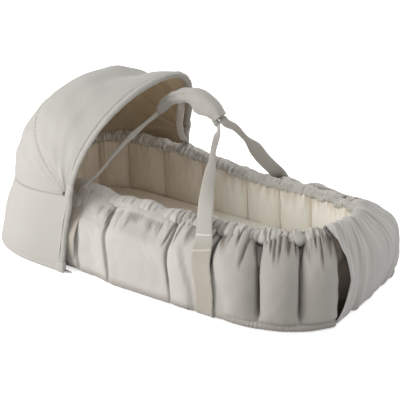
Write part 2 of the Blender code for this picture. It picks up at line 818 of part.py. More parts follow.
def sheet(rows_outer, rows_inner):
    """Loops of a thin shell, one for each step along the arch."""
    loops = []
    for column in range(len(rows_outer[0])):
        face = [row[column] for row in rows_outer]
        back = [row[column] for row in rows_inner]
        loops.append(face + back[::-1])
    return loops


def gore_rows(angles, first_shift, last_shift, inward):
    steps = arch_steps(GORE_COLUMNS)
    rows = []
    for index, angle in enumerate(angles):
        shift = 0.0
        if index == 0:
            shift = first_shift
        if index == len(angles) - 1:
            shift = last_shift
        rows.append([rib(angle, t, inward, shift) for t in steps])
    return rows


def front_gore_rows(inward):
    """Rows of the front gore, from just behind the casing back to the rear seam."""
    steps = arch_steps(GORE_COLUMNS)
    behind = -CASING_HALF_WIDTH / math.cos(math.radians(CASING_TILT)) - TOUCH_GAP
    rows = [[front_rib(t, inward, behind) for t in steps]]
    for row in range(1, GORE_ROWS + 1):
        points = []
        for t, (x, _, z) in zip(steps, rows[0]):
            start = math.degrees(math.atan2(x - PIVOT_X, z - PIVOT_Z))
            angle = start + row / GORE_ROWS * (REAR_SEAM_ANGLE - start)
            points.append(rib(angle, t, inward, TOUCH_GAP if row == GORE_ROWS else 0.0))
        rows.append(points)
    return rows


def hood_gores():
    sheets = [front_gore_rows(inward) for inward in (0.0, HOOD_THICKNESS)]
    solid("hood_front_gore", "hood", sheet(*sheets))
    angles = np.linspace(REAR_SEAM_ANGLE, SKIRT_SEAM_ANGLE, GORE_ROWS)
    sheets = [gore_rows(angles, -TOUCH_GAP, TOUCH_GAP, d) for d in (0.0, HOOD_THICKNESS)]
    solid("hood_rear_gore", "hood", sheet(*sheets))


def skirt_floor(turn, inward):
    """Outline of the hood on the floor, from the near sleeve round the back to the far one."""
    half = HOOD_FLOOR_HALF_WIDTH - inward
    front = BOW_FOOT_X - CASING_HALF_WIDTH - TOUCH_GAP
    reach = HOOD_BACK_LENGTH + front - inward
    x = front - reach * abs(math.sin(turn)) ** (2 / FLOOR_POWER)
    return x, -half * power(math.cos(turn), 2 / FLOOR_POWER), HOOD_FLOOR_CLEARANCE


def hood_skirt():
    steps = arch_steps(GORE_COLUMNS)
    turns = np.linspace(0.0, math.pi, GORE_COLUMNS)
    sheets = []
    for inward in (0.0, HOOD_THICKNESS):
        rows = []
        for i in range(SKIRT_ROWS + 1):
            share = i / SKIRT_ROWS
            bulge = SKIRT_BULGE * math.sin(math.pi * share)
            row = []
            for t, turn in zip(steps, turns):
                high = np.array(rib(SKIRT_SEAM_ANGLE, t, inward, -TOUCH_GAP))
                low = np.array(skirt_floor(turn, inward))
                point = high + share * (low - high)
                point[0] -= bulge * math.sin(t)
                point[1] -= bulge * math.cos(t)
                row.append(point)
            rows.append(row)
        sheets.append(rows)
    solid("hood_skirt", "hood", sheet(*sheets))


def sweep(path, sections, side_of):
    """Loops of a section carried along a path. The side function gives the section's first axis."""
    loops = []
    count = len(path)
    for i, centre in enumerate(path):
        along = unit(path[min(i + 1, count - 1)] - path[max(i - 1, 0)])
        first = side_of(i)
        first = unit(first - np.dot(first, along) * along)
        second = unit(cross(along, first))
        loops.append([centre + a * first + b * second for a, b in sections[i]])
    return loops


def bow_section(width, thickness, corners=8):
    """An oval section with the given width and thickness."""
    return [(width * a, thickness * b) for a, b in circle(1.0, corners, math.pi / corners)]


def end_tab(reach):
    """Half width and half thickness of a bow's flat end, at a distance above the pivot."""
    if reach < 0:
        round_end = math.sqrt(max(TAB_HALF_WIDTH ** 2 - reach ** 2, 0.0))
        return max(round_end, TAB_HALF_WIDTH / 3), TAB_THICKNESS / 2
    narrow = ramp(reach, TAB_NARROWS_FROM, TAB_NARROWS_TO)
    thick = ramp(reach, TAB_NARROWS_TO, TAB_LENGTH)
    half = TAB_HALF_WIDTH + narrow * (BOW_RADIUS - TAB_HALF_WIDTH)
    return half, TAB_THICKNESS / 2 + thick * (BOW_RADIUS - TAB_THICKNESS / 2)


def bow_path(point_of, direction, pivot_y):
    """Centres of a bow from the near pivot to the far one, with flat ends that pass the pivots."""
    reaches = [-0.92 * TAB_HALF_WIDTH, -0.5 * TAB_HALF_WIDTH, 0.0, TAB_NARROWS_FROM]
    reaches += [(TAB_NARROWS_FROM + TAB_NARROWS_TO) / 2, TAB_NARROWS_TO, TAB_LENGTH]
    near = []
    sections = []
    for reach in reaches:
        x = PIVOT_X + reach * direction[0]
        z = PIVOT_Z + reach * direction[1]
        near.append(np.array((x, -pivot_y, z)))
        sections.append(end_tab(reach))
    middle = [np.array(point_of(t)) for t in arch_steps(BOW_COLUMNS)]
    far = [p * np.array((1.0, -1.0, 1.0)) for p in reversed(near)]
    path = near + middle + far
    sizes = sections + [(BOW_RADIUS, BOW_RADIUS)] * len(middle) + sections[::-1]
    return path, sizes


def drill(item):
    """Cuts the rivet's holes along the pivot line."""
    beyond = pivot_plane(0) + TAB_PITCH
    loops = disc(PIVOT_X, PIVOT_Z, -beyond, beyond, RIVET_RADIUS + RIVET_CLEARANCE, 16)
    cutter = solid(item.name + "_drill", "metal", loops)
    cutter.hide_render = True
    cutter.display_type = "WIRE"
    cut = item.modifiers.new("rivet_holes", "BOOLEAN")
    cut.operation = "DIFFERENCE"
    cut.solver = "EXACT"
    cut.object = cutter


def pivot_plane(layer):
    """Distance of a tab's middle from the centre plane. Layer 0 is the outermost, the stay's."""
    return HOOD_HALF_WIDTH - CASING_HALF_THICKNESS + TAB_PITCH * (1 - layer)


def make_bow(name, point_of, direction, layer):
    path, sizes = bow_path(point_of, direction, pivot_plane(layer))
    sections = [bow_section(w, d) for w, d in sizes]
    pivot = (PIVOT_X, 0.0, PIVOT_Z)
    forward = np.array((direction[1], 0.0, -direction[0]))
    loops = sweep(path, sections, lambda i: forward)
    item = solid(name, "bow", loops, origin=pivot)
    drill(item)


def front_bow_point(t):
    return front_rib(t, CASING_HALF_THICKNESS)


def rear_bow_point(t):
    return rib(REAR_SEAM_ANGLE, t, HOOD_THICKNESS + SOFT_GAP + BOW_RADIUS)


def hood_bows():
    lean = math.atan2(bow_x(PIVOT_Z + TAB_LENGTH) - bow_x(PIVOT_Z), TAB_LENGTH)
    make_bow("hood_front_bow", front_bow_point, (math.sin(lean), math.cos(lean)), 1)
    seam = math.radians(REAR_SEAM_ANGLE)
    make_bow("hood_rear_bow", rear_bow_point, (math.sin(seam), math.cos(seam)), 2)


def hood_casing():
    section = slit_tube(CASING_HALF_THICKNESS, CASING_HALF_WIDTH, CASING_WALL, CASING_SLIT)
    path = [np.array(front_bow_point(t)) for t in arch_steps(BOW_COLUMNS, CASING_START_HEIGHT)]
    outwards = []
    middle = np.array((0.0, 0.0, PIVOT_Z))
    for point in path:
        out = point - middle
        out[0] = 0.0
        outwards.append(out)
    loops = sweep(path, [section] * len(path), lambda i: outwards[i])
    solid("hood_front_casing", "hood", loops, origin=(PIVOT_X, 0.0, PIVOT_Z))


def stay_point(side, z):
    """Centre of a side stay, from its foot to the pivot."""
    share = min(z / (PIVOT_Z - TAB_LENGTH), 1.0)
    foot_y = HOOD_FLOOR_HALF_WIDTH - CASING_HALF_THICKNESS
    y = foot_y + share ** 1.5 * (pivot_plane(0) - foot_y)
    x = PIVOT_X if share == 1.0 else bow_x(z) + share * (PIVOT_X - bow_x(PIVOT_Z - TAB_LENGTH))
    return np.array((x, side * y, z))


def box_loop(half_x, half_y):
    return [(-half_x, -half_y), (half_x, -half_y), (half_x, half_y), (-half_x, half_y)]


def hood_sides():
    forward = np.array((1.0, 0.0, 0.0))
    foot_z = POCKET_WALL + TOUCH_GAP
    for name, side in (("near", -1), ("far", 1)):
        heights = list(np.linspace(foot_z, PIVOT_Z - TAB_LENGTH, SIDE_LEVELS))
        heights += [PIVOT_Z - TAB_HALF_WIDTH, PIVOT_Z]
        heights += [PIVOT_Z + 0.5 * TAB_HALF_WIDTH, PIVOT_Z + 0.92 * TAB_HALF_WIDTH]
        path = []
        sections = []
        for z in heights:
            path.append(stay_point(side, z))
            half = STAY_HALF_WIDTH if z < PIVOT_Z - 2 * TAB_HALF_WIDTH else TAB_HALF_WIDTH
            if z > PIVOT_Z:
                half = end_tab(PIVOT_Z - z)[0]
            sections.append(box_loop(half, TAB_THICKNESS / 2))
        item = solid(f"hood_stay_{name}", "bow", sweep(path, sections, lambda i: forward))
        drill(item)
        sleeve(name, side)
        pocket(name, side)


def sleeve(name, side):
    """Fabric tunnel around a stay, open at both ends."""
    low = POCKET_HEIGHT + TOUCH_GAP
    path = [stay_point(side, z) for z in np.linspace(low, PIVOT_Z - TAB_LENGTH, SIDE_LEVELS)]
    outside = []
    inside = []
    for x, y, z in path:
        outer = bow_section(CASING_HALF_WIDTH, CASING_HALF_THICKNESS)
        inner = bow_section(CASING_HALF_WIDTH - CASING_WALL, CASING_HALF_THICKNESS - CASING_WALL)
        outside.append([(x + a, y + b, z) for a, b in outer])
        inside.append([(x + a, y + b, z) for a, b in inner])
    solid(f"hood_sleeve_{name}", "hood", outside + inside[::-1], closed=True)


def pocket(name, side):
    """Pocket that holds a stay's foot, and the pull tab in front of it."""
    foot = stay_point(side, 0.0)
    half_x = CASING_HALF_WIDTH
    half_y = CASING_HALF_THICKNESS
    wall = POCKET_WALL
    loops = []
    for shrink, z in ((0.0, 0.0), (0.0, POCKET_HEIGHT), (wall, POCKET_HEIGHT), (wall, wall)):
        centre = stay_point(side, z)
        outline = box_loop(half_x - shrink, half_y - shrink)
        loops.append([(centre[0] + a, centre[1] + b, z) for a, b in outline])
    solid(f"hood_pocket_{name}", "hood", loops)
    start = foot[0] + half_x + TOUCH_GAP
    outline = (
        (start, foot[1] - half_y), (start + PULL_TAB_LENGTH, foot[1] - side * half_y),
        (start, foot[1] + half_y),
    )
    tab = [[(x, y, z) for x, y in outline] for z in (0.0, PULL_TAB_THICKNESS)]
    solid(f"hood_pull_tab_{name}", "hood", tab)


def hood_rivets():
    inner = pivot_plane(2) - TAB_THICKNESS / 2 - TOUCH_GAP
    outer = pivot_plane(0) + TAB_THICKNESS / 2 + TOUCH_GAP
    steps = (
        (inner - RIVET_HEAD_THICKNESS, RIVET_HEAD_RADIUS), (inner, RIVET_HEAD_RADIUS),
        (inner, RIVET_RADIUS), (outer, RIVET_RADIUS),
        (outer, RIVET_HEAD_RADIUS), (outer + RIVET_HEAD_THICKNESS, RIVET_HEAD_RADIUS),
    )
    for name, side in (("near", -1), ("far", 1)):
        loops = []
        for y, radius in steps:
            loops.append([(PIVOT_X + a, side * y, PIVOT_Z + b) for a, b in circle(radius, 16)])
        solid(f"hood_rivet_{name}", "metal", loops)


def main():
    clear_scene()
    base()
    outer_cover()
    side_bolsters()
    inner_lining()
    rim()
    foot_cover()
    wall_straps()
    strap_legs()
    top_runs()
    grip()
    hood_gores()
    hood_skirt()
    hood_bows()
    hood_casing()
    hood_sides()
    hood_rivets()


main()
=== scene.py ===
import math

import bmesh
import bpy
import numpy as np
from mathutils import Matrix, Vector


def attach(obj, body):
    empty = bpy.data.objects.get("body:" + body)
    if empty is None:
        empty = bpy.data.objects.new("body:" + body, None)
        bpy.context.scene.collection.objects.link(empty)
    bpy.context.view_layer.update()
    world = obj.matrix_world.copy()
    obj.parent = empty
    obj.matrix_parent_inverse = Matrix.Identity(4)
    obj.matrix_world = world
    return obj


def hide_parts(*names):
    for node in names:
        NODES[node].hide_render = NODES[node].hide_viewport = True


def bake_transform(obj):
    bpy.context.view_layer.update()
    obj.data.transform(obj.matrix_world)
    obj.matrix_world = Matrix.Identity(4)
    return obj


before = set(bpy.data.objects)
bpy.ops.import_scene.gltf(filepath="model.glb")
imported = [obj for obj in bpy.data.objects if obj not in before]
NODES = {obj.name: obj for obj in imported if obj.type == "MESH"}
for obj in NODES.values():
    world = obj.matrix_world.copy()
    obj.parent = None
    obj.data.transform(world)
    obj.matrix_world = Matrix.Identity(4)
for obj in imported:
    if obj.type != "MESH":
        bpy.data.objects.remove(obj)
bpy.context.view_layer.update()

# Outline of the tub, as in the solids: half its width, how far its ends reach, where its sides are straight,
# and the radius that its ends are measured with
HALF, FOOT, HEAD = 0.2095, 0.3942, 0.386
X_FOOT, X_HEAD, SEAM_R = 0.158, -0.202, 0.195
QUARTER = SEAM_R * math.pi / 2
STRAIGHT = X_FOOT - X_HEAD
GIRTH = 2 * QUARTER + STRAIGHT
ROUND = 2 * GIRTH
# The hood: its pivots' axis, half its width above and at the floor, and how far back it reaches
PIVOT = np.array((-0.152, 0.0, 0.157))
HOOD_HALF, HOOD_FLOOR_HALF, HOOD_BACK = 0.197, 0.2125, 0.397


def wrap(s):
    """A station round the tub, from -GIRTH to GIRTH. It is 0 at the foot and grows along the near side."""
    return (np.asarray(s, float) + GIRTH) % ROUND - GIRTH


def signed(v, e):
    """A power that keeps the sign."""
    return np.sign(v) * np.abs(v) ** e


def ramp(v, a, b):
    """A smooth step from 0 at a to 1 at b."""
    t = np.clip((np.asarray(v, float) - a) / (b - a), 0, 1)
    return t * t * (3 - 2 * t)


def bell(v, at, width):
    """A hump that is 1 at a place and fades over a width."""
    return np.exp(-((v - at) / width) ** 2)


def round_bell(a, at, width):
    """The same round a section, for angles."""
    return bell(np.angle(np.exp(1j * (a - at))), 0, width)


def ring(inset, s):
    """Points of the tub's outline in plan at an inset from the belly."""
    inset, s = np.broadcast_arrays(np.asarray(inset, float), wrap(s))
    side = np.where(s >= 0, -1.0, 1.0)
    a = np.abs(s)
    half = HALF - inset
    c = 2 / (2.6 - 0.5 * np.clip(inset / 0.085, 0, 1))
    t1 = np.clip(a / SEAM_R, 0, math.pi / 2)
    t3 = np.clip((a - QUARTER - STRAIGHT) / SEAM_R, 0, math.pi / 2)
    foot = FOOT - 0.65 * inset
    head = HEAD - 0.65 * inset
    x = np.where(a < QUARTER, X_FOOT + (foot - X_FOOT) * np.cos(t1) ** c, X_FOOT + QUARTER - a)
    y = np.where(a < QUARTER, half * np.sin(t1) ** c, half)
    at_head = a > QUARTER + STRAIGHT
    x = np.where(at_head, X_HEAD - (head + X_HEAD) * np.sin(t3) ** c, x)
    y = np.where(at_head, half * np.cos(t3) ** c, y)
    return x, side * y


def outward(inset, s):
    """The outline's outward direction in plan."""
    ax, ay = ring(inset, np.asarray(s) - 0.004)
    bx, by = ring(inset, np.asarray(s) + 0.004)
    span = np.hypot(bx - ax, by - ay)
    return -(by - ay) / span, (bx - ax) / span


def rise(s):
    """How high the wall stands at a station, as a share of its usual height."""
    x = ring(0.0, s)[0]
    far_sag = 0.14 * ramp(-wrap(s), 0.08, 0.22) * ramp(x, -0.120, 0.080)
    dips = 0.070 * bell(x, -0.090, 0.034) + 0.030 * bell(x, 0.022, 0.030)
    near_sag = ramp(wrap(s), 0.05, 0.18) * (0.035 * ramp(x, -0.12, -0.02) + dips)
    return 1 + 0.035 * ramp(x, 0.08, FOOT) - far_sag - near_sag


def place(inset, s, out, z):
    """Points at a station, an inset, a distance outwards from there and a height."""
    x, y = ring(inset, s)
    nx, ny = outward(inset, s)
    return np.stack(np.broadcast_arrays(x + out * nx, y + out * ny, z * rise(s)), -1)


def hood_room(s, z):
    """How far the wall stays back to leave room for the hood outside it."""
    x = ring(0.0, s)[0]
    fade = np.clip((0.141 - z) / 0.023, 0, 1)
    side = ramp(-x, 0.040, 0.100)
    back = ramp(-x, 0.170, 0.240)
    return (0.0128 * side + 0.0032 * back) * fade


def near_side(s):
    """1 along the near side of the tub, fading to 0 at the foot and the head."""
    return ramp(wrap(s), 0.0, 0.1) * (1 - ramp(wrap(s), 0.9, 0.97))


class Wave:
    """A smooth wandering line from a seed: a sum of sines, repeatable and periodic round the tub."""

    def __init__(self, seed, period):
        rng = np.random.default_rng(seed)
        terms = 5
        self.k = np.round(ROUND / period * rng.uniform(0.6, 1.7, terms)).clip(1) * 2 * math.pi / ROUND
        self.phase = rng.uniform(0, 2 * math.pi, terms)
        self.weight = rng.uniform(0.6, 1.0, terms)
        self.weight /= np.sqrt((self.weight ** 2).sum() / 2)

    def __call__(self, s):
        s = np.asarray(s, float)
        return sum(w * np.sin(k * s + p) for k, p, w in zip(self.k, self.phase, self.weight))


def field(seed, scale, terms=14):
    """Smooth noise over two coordinates, from a seed. Scale gives its rough wavelength along each."""
    rng = np.random.default_rng(seed)
    angle = rng.uniform(0, 2 * math.pi, terms)
    k = 2 * math.pi * rng.uniform(0.6, 1.5, terms)
    phase = rng.uniform(0, 2 * math.pi, terms)
    weight = rng.uniform(0.5, 1.0, terms)
    weight /= np.sqrt((weight ** 2).sum() / 2)

    def value(a, b):
        total = 0
        for t, kk, p, w in zip(angle, k, phase, weight):
            total = total + w * np.sin(kk * (math.cos(t) * a / scale[0] + math.sin(t) * b / scale[1]) + p)
        return total

    return value


# Materials

# Threads of the cotton cloth in a metre, and the colour of the stitches
THREADS_PER_M = 1100.0
THREAD = (0.72, 0.69, 0.63, 1)


def node(tree, kind, **values):
    """A shader node with its inputs or settings given by name."""
    made = tree.nodes.new(kind)
    for key, value in values.items():
        if key in made.inputs:
            made.inputs[key].default_value = value
        else:
            setattr(made, key, value)
    return made


def mix_colour(tree, fac, a, b, blend="MIX"):
    made = node(tree, "ShaderNodeMix", data_type="RGBA", blend_type=blend)
    for socket, value in ((0, fac), (6, a), (7, b)):
        if isinstance(value, bpy.types.NodeSocket):
            tree.links.new(value, made.inputs[socket])
        else:
            made.inputs[socket].default_value = value
    return made.outputs[2]


def to_range(tree, value, start, end, low, high):
    """A value taken from one range to another."""
    limits = {"From Min": start, "From Max": end, "To Min": low, "To Max": high}
    made = node(tree, "ShaderNodeMapRange", **limits)
    tree.links.new(value, made.inputs["Value"])
    return made.outputs["Result"]


def combine(tree, operation, *values):
    """A sum done by a Math node on outputs and plain numbers."""
    made = node(tree, "ShaderNodeMath", operation=operation)
    for socket, value in zip(made.inputs, values):
        if isinstance(value, bpy.types.NodeSocket):
            tree.links.new(value, socket)
        else:
            socket.default_value = value
    return made.outputs[0]


def new_material(name):
    """A material with its node tree, the tree's way to link and its main shader."""
    mat = bpy.data.materials.new(name)
    mat.use_nodes = True
    return mat, mat.node_tree, mat.node_tree.links.new, mat.node_tree.nodes["Principled BSDF"]


def raise_threads(tree, bsdf, height, strength, distance):
    """Bumps in the surface from a height."""
    lift = node(tree, "ShaderNodeBump", Strength=strength, Distance=distance)
    tree.links.new(height, lift.inputs["Height"])
    tree.links.new(lift.outputs["Normal"], bsdf.inputs["Normal"])


def cloth_material(name, colour, dark, bump=0.35, sheen=0.35, painted_shade=None, slub=0.5, blotch=0.35):
    """Woven cotton: crossed threads, slubs and a slight melange, with painted shade mixed in where the mesh
    asks for it.
    """
    mat, tree, link, bsdf = new_material(name)
    place_at = node(tree, "ShaderNodeTexCoord").outputs["Object"]
    broad = node(tree, "ShaderNodeTexNoise", Scale=9.0, Detail=3.0, Roughness=0.6)
    link(place_at, broad.inputs["Vector"])
    shade = mix_colour(tree, to_range(tree, broad.outputs["Fac"], 0.3, 0.7, 0, blotch), colour, dark)
    fibre = node(tree, "ShaderNodeTexNoise", Scale=520.0, Detail=4.0, Roughness=0.7)
    link(place_at, fibre.inputs["Vector"])
    shade = mix_colour(tree, to_range(tree, fibre.outputs["Fac"], 0.35, 0.75, 0, slub), shade, dark)
    # Painted shade: an attribute on the mesh mixes in a dark colour where shade would fall, in seams,
    # gathers, grooves and shaded places.
    if painted_shade:
        shade_mask = node(tree, "ShaderNodeAttribute", attribute_name="painted_shade")
        shade = mix_colour(tree, shade_mask.outputs["Fac"], shade, painted_shade)
    link(shade, bsdf.inputs["Base Color"])
    bsdf.inputs["Sheen Weight"].default_value = sheen
    bsdf.inputs["Sheen Roughness"].default_value = 0.45
    bsdf.inputs["Specular IOR Level"].default_value = 0.25
    threads = []
    for axis in ("X", "Z"):
        wave = node(tree, "ShaderNodeTexWave", Scale=THREADS_PER_M / 6.3, Distortion=1.2, Detail=2.0)
        wave.inputs["Detail Scale"].default_value = 2.0
        wave.bands_direction = axis
        link(place_at, wave.inputs["Vector"])
        threads.append(wave.outputs["Fac"])
    height = combine(tree, "MULTIPLY_ADD", fibre.outputs["Fac"], 0.8, combine(tree, "MULTIPLY", *threads))
    raise_threads(tree, bsdf, height, bump, 0.0006)
    link(to_range(tree, fibre.outputs["Fac"], 0, 1, 0.80, 0.96), bsdf.inputs["Roughness"])
    return mat


def webbing_material(name, colour, dark):
    """Herringbone carry webbing, woven along its own length, which the mesh gives as a UV map in metres."""
    mat, tree, link, bsdf = new_material(name)
    at = node(tree, "ShaderNodeUVMap", uv_map="web").outputs["UV"]
    bands = []
    for turn in (0.9, -0.9):
        spin = node(tree, "ShaderNodeMapping", vector_type="POINT")
        spin.inputs["Rotation"].default_value = (0, 0, turn)
        link(at, spin.inputs["Vector"])
        wave = node(tree, "ShaderNodeTexWave", Scale=95.0, Distortion=0.6, Detail=1.0)
        link(spin.outputs["Vector"], wave.inputs["Vector"])
        bands.append(wave.outputs["Fac"])
    fibre = node(tree, "ShaderNodeTexNoise", Scale=600.0, Detail=3.0)
    link(at, fibre.inputs["Vector"])
    tone = combine(tree, "MULTIPLY_ADD", fibre.outputs["Fac"], 0.35, combine(tree, "MULTIPLY", *bands))
    shade = mix_colour(tree, to_range(tree, tone, 0, 1.2, 0, 0.55), colour, dark)
    thread = node(tree, "ShaderNodeAttribute", attribute_name="stitch")
    shade = mix_colour(tree, thread.outputs["Fac"], shade, THREAD)
    link(shade, bsdf.inputs["Base Color"])
    raise_threads(tree, bsdf, tone, 0.5, 0.0005)
    bsdf.inputs["Roughness"].default_value = 0.82
    bsdf.inputs["Sheen Weight"].default_value = 0.3
    bsdf.inputs["Specular IOR Level"].default_value = 0.3
    return mat


def hard_material(name, colour, rough, metallic, grain, bump):
    """Plastic, metal or board with a fine grain."""
    mat, tree, link, bsdf = new_material(name)
    noise = node(tree, "ShaderNodeTexNoise", Scale=grain, Detail=4.0)
    link(node(tree, "ShaderNodeTexCoord").outputs["Object"], noise.inputs["Vector"])
    shade = mix_colour(tree, noise.outputs["Fac"], colour, tuple(c * 0.86 for c in colour[:3]) + (1,))
    link(shade, bsdf.inputs["Base Color"])
    raise_threads(tree, bsdf, noise.outputs["Fac"], bump, 0.0003)
    bsdf.inputs["Roughness"].default_value = rough
    bsdf.inputs["Metallic"].default_value = metallic
    return mat


# The shell's last colour is painted shade, mixed in at its seams, gathers and shaded places.
SHELL = cloth_material("shell_cotton", (0.575, 0.550, 0.508, 1), (0.490, 0.465, 0.425, 1),
                       painted_shade=(0.170, 0.140, 0.112, 1), sheen=0.15)
# The grip's cloth is the shell's cloth made darker: painted shade, as less light falls on the grip.
GRIP = cloth_material("grip_cotton", (0.475, 0.452, 0.412, 1), (0.400, 0.380, 0.342, 1), bump=0.45,
                      sheen=0.15)
# The hood's last colour is painted shade, mixed in along its seams and grooves.
HOOD = cloth_material("hood_cotton", (0.485, 0.467, 0.432, 1), (0.418, 0.399, 0.364, 1), bump=0.45,
                      slub=0.42, blotch=0.2, sheen=0.15, painted_shade=(0.400, 0.335, 0.295, 1))
# The hood's inside is the same cloth painted warm brown: the tone of the shade and bounced light inside the
# hood, painted in.
HOOD_INSIDE = cloth_material("hood_inside", (0.720, 0.585, 0.420, 1), (0.640, 0.510, 0.355, 1), sheen=0.1)
COVER = cloth_material("cover_cotton", (0.525, 0.502, 0.472, 1), (0.430, 0.411, 0.382, 1), bump=0.25,
                       sheen=0.25, blotch=0.3)
# The lining's last colour is painted shade, a warm brown, mixed in at its seams and gathers and towards the
# head.
LINING = cloth_material("lining_cotton", (0.910, 0.885, 0.815, 1), (0.870, 0.840, 0.760, 1), bump=0.2,
                        painted_shade=(0.560, 0.430, 0.300, 1), slub=0.3, sheen=0.1)
WEB = webbing_material("carry_webbing", (0.475, 0.447, 0.402, 1), (0.350, 0.325, 0.288, 1))
WEB_LOW = webbing_material("wall_webbing", (0.455, 0.412, 0.355, 1), (0.330, 0.292, 0.245, 1))
PLASTIC = hard_material("bow_plastic", (0.70, 0.70, 0.69, 1), 0.45, 0.0, 260.0, 0.15)
METAL = hard_material("snap_metal", (0.62, 0.62, 0.60, 1), 0.32, 1.0, 400.0, 0.1)
BOARD = hard_material("base_fibre", (0.50, 0.45, 0.37, 1), 0.75, 0.0, 300.0, 0.4)


# Mesh building

def quads(rows, cols, rows_round=False, cols_round=True):
    """Four-sided faces over a grid of points. Round closes it on itself that way."""
    r = np.arange(rows if rows_round else rows - 1)[:, None]
    c = np.arange(cols if cols_round else cols - 1)[None, :]
    r2, c2 = (r + 1) % rows, (c + 1) % cols
    return np.stack([r * cols + c, r * cols + c2, r2 * cols + c2, r2 * cols + c], -1).reshape(-1, 4)


def new_object(name, verts, faces, mats, face_mat=None):
    """A smooth-shaded mesh in the scene."""
    mesh = bpy.data.meshes.new(name)
    mesh.from_pydata([tuple(v) for v in verts], [], [tuple(f) for f in faces])
    for mat in mats:
        mesh.materials.append(mat)
    if face_mat is not None:
        mesh.polygons.foreach_set("material_index", np.asarray(face_mat, np.int32))
    mesh.polygons.foreach_set("use_smooth", [True] * len(mesh.polygons))
    mesh.validate()
    mesh.update()
    obj = bpy.data.objects.new(name, mesh)
    bpy.context.scene.collection.objects.link(obj)
    return obj


def recalc(obj):
    """Turns all the faces of a closed mesh outwards."""
    bm = bmesh.new()
    bm.from_mesh(obj.data)
    bmesh.ops.recalc_face_normals(bm, faces=bm.faces[:])
    bm.to_mesh(obj.data)
    bm.free()


def shell(name, face, back, mats, around=False):
    """A closed sheet from two grids of points, rows by columns, which close on themselves if they go around.
    If there are two materials, the second is for the back."""
    rows, cols = face.shape[:2]
    verts = np.concatenate([face.reshape(-1, 3), back.reshape(-1, 3)])
    n = rows * cols
    front = quads(rows, cols, cols_round=around)
    rear = front[:, ::-1] + n
    c = np.arange(cols if around else cols - 1)
    d = (c + 1) % cols
    edges = []
    for row, turn in ((0, 1), (rows - 1, -1)):
        p, q = row * cols + c, row * cols + d
        edges.append(np.stack([p, q, q + n, p + n], -1)[:, ::turn])
    if not around:
        rr = np.arange(rows - 1)
        for col in (0, cols - 1):
            p, q = rr * cols + col, (rr + 1) * cols + col
            edges.append(np.stack([p, q, q + n, p + n], -1))
    rim = np.concatenate(edges)
    faces = np.concatenate([front, rear, rim])
    inside = min(1, len(mats) - 1)
    which = np.concatenate([np.zeros(len(front)), np.full(len(rear), inside), np.zeros(len(rim))])
    obj = new_object(name, verts, faces, mats, which.astype(int))
    recalc(obj)
    return obj


def attribute(obj, name, values):
    """A value for each point, which the materials read."""
    attr = obj.data.attributes.new(name, "FLOAT", "POINT")
    attr.data.foreach_set("value", np.asarray(values, np.float32).ravel())


def dress(obj, body, slot, *nodes):
    """A piece's body, its slot, which is not used, and the solids it stands for. A piece that is blended has
    no single body.
    """
    if body:
        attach(obj, body)
    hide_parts(*nodes)


def length_along(points):
    """Distance from the first point to each one along the line through them."""
    return np.concatenate([[0], np.cumsum(np.linalg.norm(np.diff(points, axis=0), axis=1))])


def normals_of(grid, around=False):
    """Unit normals of a grid of points, rows by columns."""
    if around:
        du = np.roll(grid, -1, 1) - np.roll(grid, 1, 1)
    else:
        du = np.gradient(grid, axis=1)
    dv = np.gradient(grid, axis=0)
    n = np.cross(du, dv)
    return n / np.linalg.norm(n, axis=-1, keepdims=True).clip(1e-9)


# How much larger the cloth is cut than its frame, as a share, and how hard it is to stretch
SPARE_CLOTH = 0.012
STIFFNESS = 12.0


def puff(grid, held, pressure, cap, frames, smoothing):
    """Cloth simulation of a grid of points that goes round the tub. held is 1 where it is sewn down."""
    rows, cols = grid.shape[:2]
    obj = new_object("cloth_work", grid.reshape(-1, 3), quads(rows, cols), [])
    group = obj.vertex_groups.new(name="held")
    flat = held.ravel()
    for index in np.nonzero(flat > 0.001)[0]:
        group.add([int(index)], float(flat[index]), "REPLACE")
    cloth = obj.modifiers.new("cloth", "CLOTH")
    cs = cloth.settings
    cs.quality = 6
    cs.mass = 0.15
    cs.tension_stiffness = STIFFNESS
    cs.compression_stiffness = STIFFNESS
    cs.shear_stiffness = STIFFNESS / 3
    cs.bending_stiffness = 0.4
    cs.air_damping = 2.0
    cs.vertex_group_mass = "held"
    cs.pin_stiffness = 1.0
    cs.shrink_min = -SPARE_CLOTH
    cs.use_pressure = True
    cs.uniform_pressure_force = pressure
    cs.effector_weights.gravity = 0.0
    cloth.collision_settings.use_collision = False
    cloth.collision_settings.use_self_collision = False
    scene = bpy.context.scene
    cloth.point_cache.frame_start = 1
    cloth.point_cache.frame_end = frames
    for f in range(1, frames + 1):
        scene.frame_set(f)
    graph = bpy.context.evaluated_depsgraph_get()
    done = obj.evaluated_get(graph).to_mesh()
    co = np.zeros(len(done.vertices) * 3)
    done.vertices.foreach_get("co", co)
    obj.evaluated_get(graph).to_mesh_clear()
    bpy.data.objects.remove(obj)
    scene.frame_set(1)
    co = co.reshape(grid.shape)
    if not np.isfinite(co).all():
        return grid
    move = co - grid
    for _ in range(smoothing):
        sides = np.roll(move, 1, 1) + np.roll(move, -1, 1)
        levels = np.concatenate([move[:1], move[:-1]]) + np.concatenate([move[1:], move[-1:]])
        move = move * 0.4 + (sides + levels) * 0.15
    size = np.linalg.norm(move, axis=-1, keepdims=True)
    return grid + move * (cap * np.tanh(size / cap) / size.clip(1e-9))


def doubled(points, closed):
    """Twice as many points along the first axis, on a smooth curve through the given ones."""
    if closed:
        before, after, second = np.roll(points, 1, 0), np.roll(points, -1, 0), np.roll(points, -2, 0)
        mid = (9 * (points + after) - before - second) / 16
        return np.stack([points, mid], 1).reshape(-1, *points.shape[1:])
    pad = np.concatenate([2 * points[:1] - points[1:2], points, 2 * points[-1:] - points[-2:-1]])
    out = np.empty((2 * len(points) - 1, *points.shape[1:]))
    out[::2], out[1::2] = points, (9 * (pad[1:-2] + pad[2:-1]) - pad[:-3] - pad[3:]) / 16
    return out


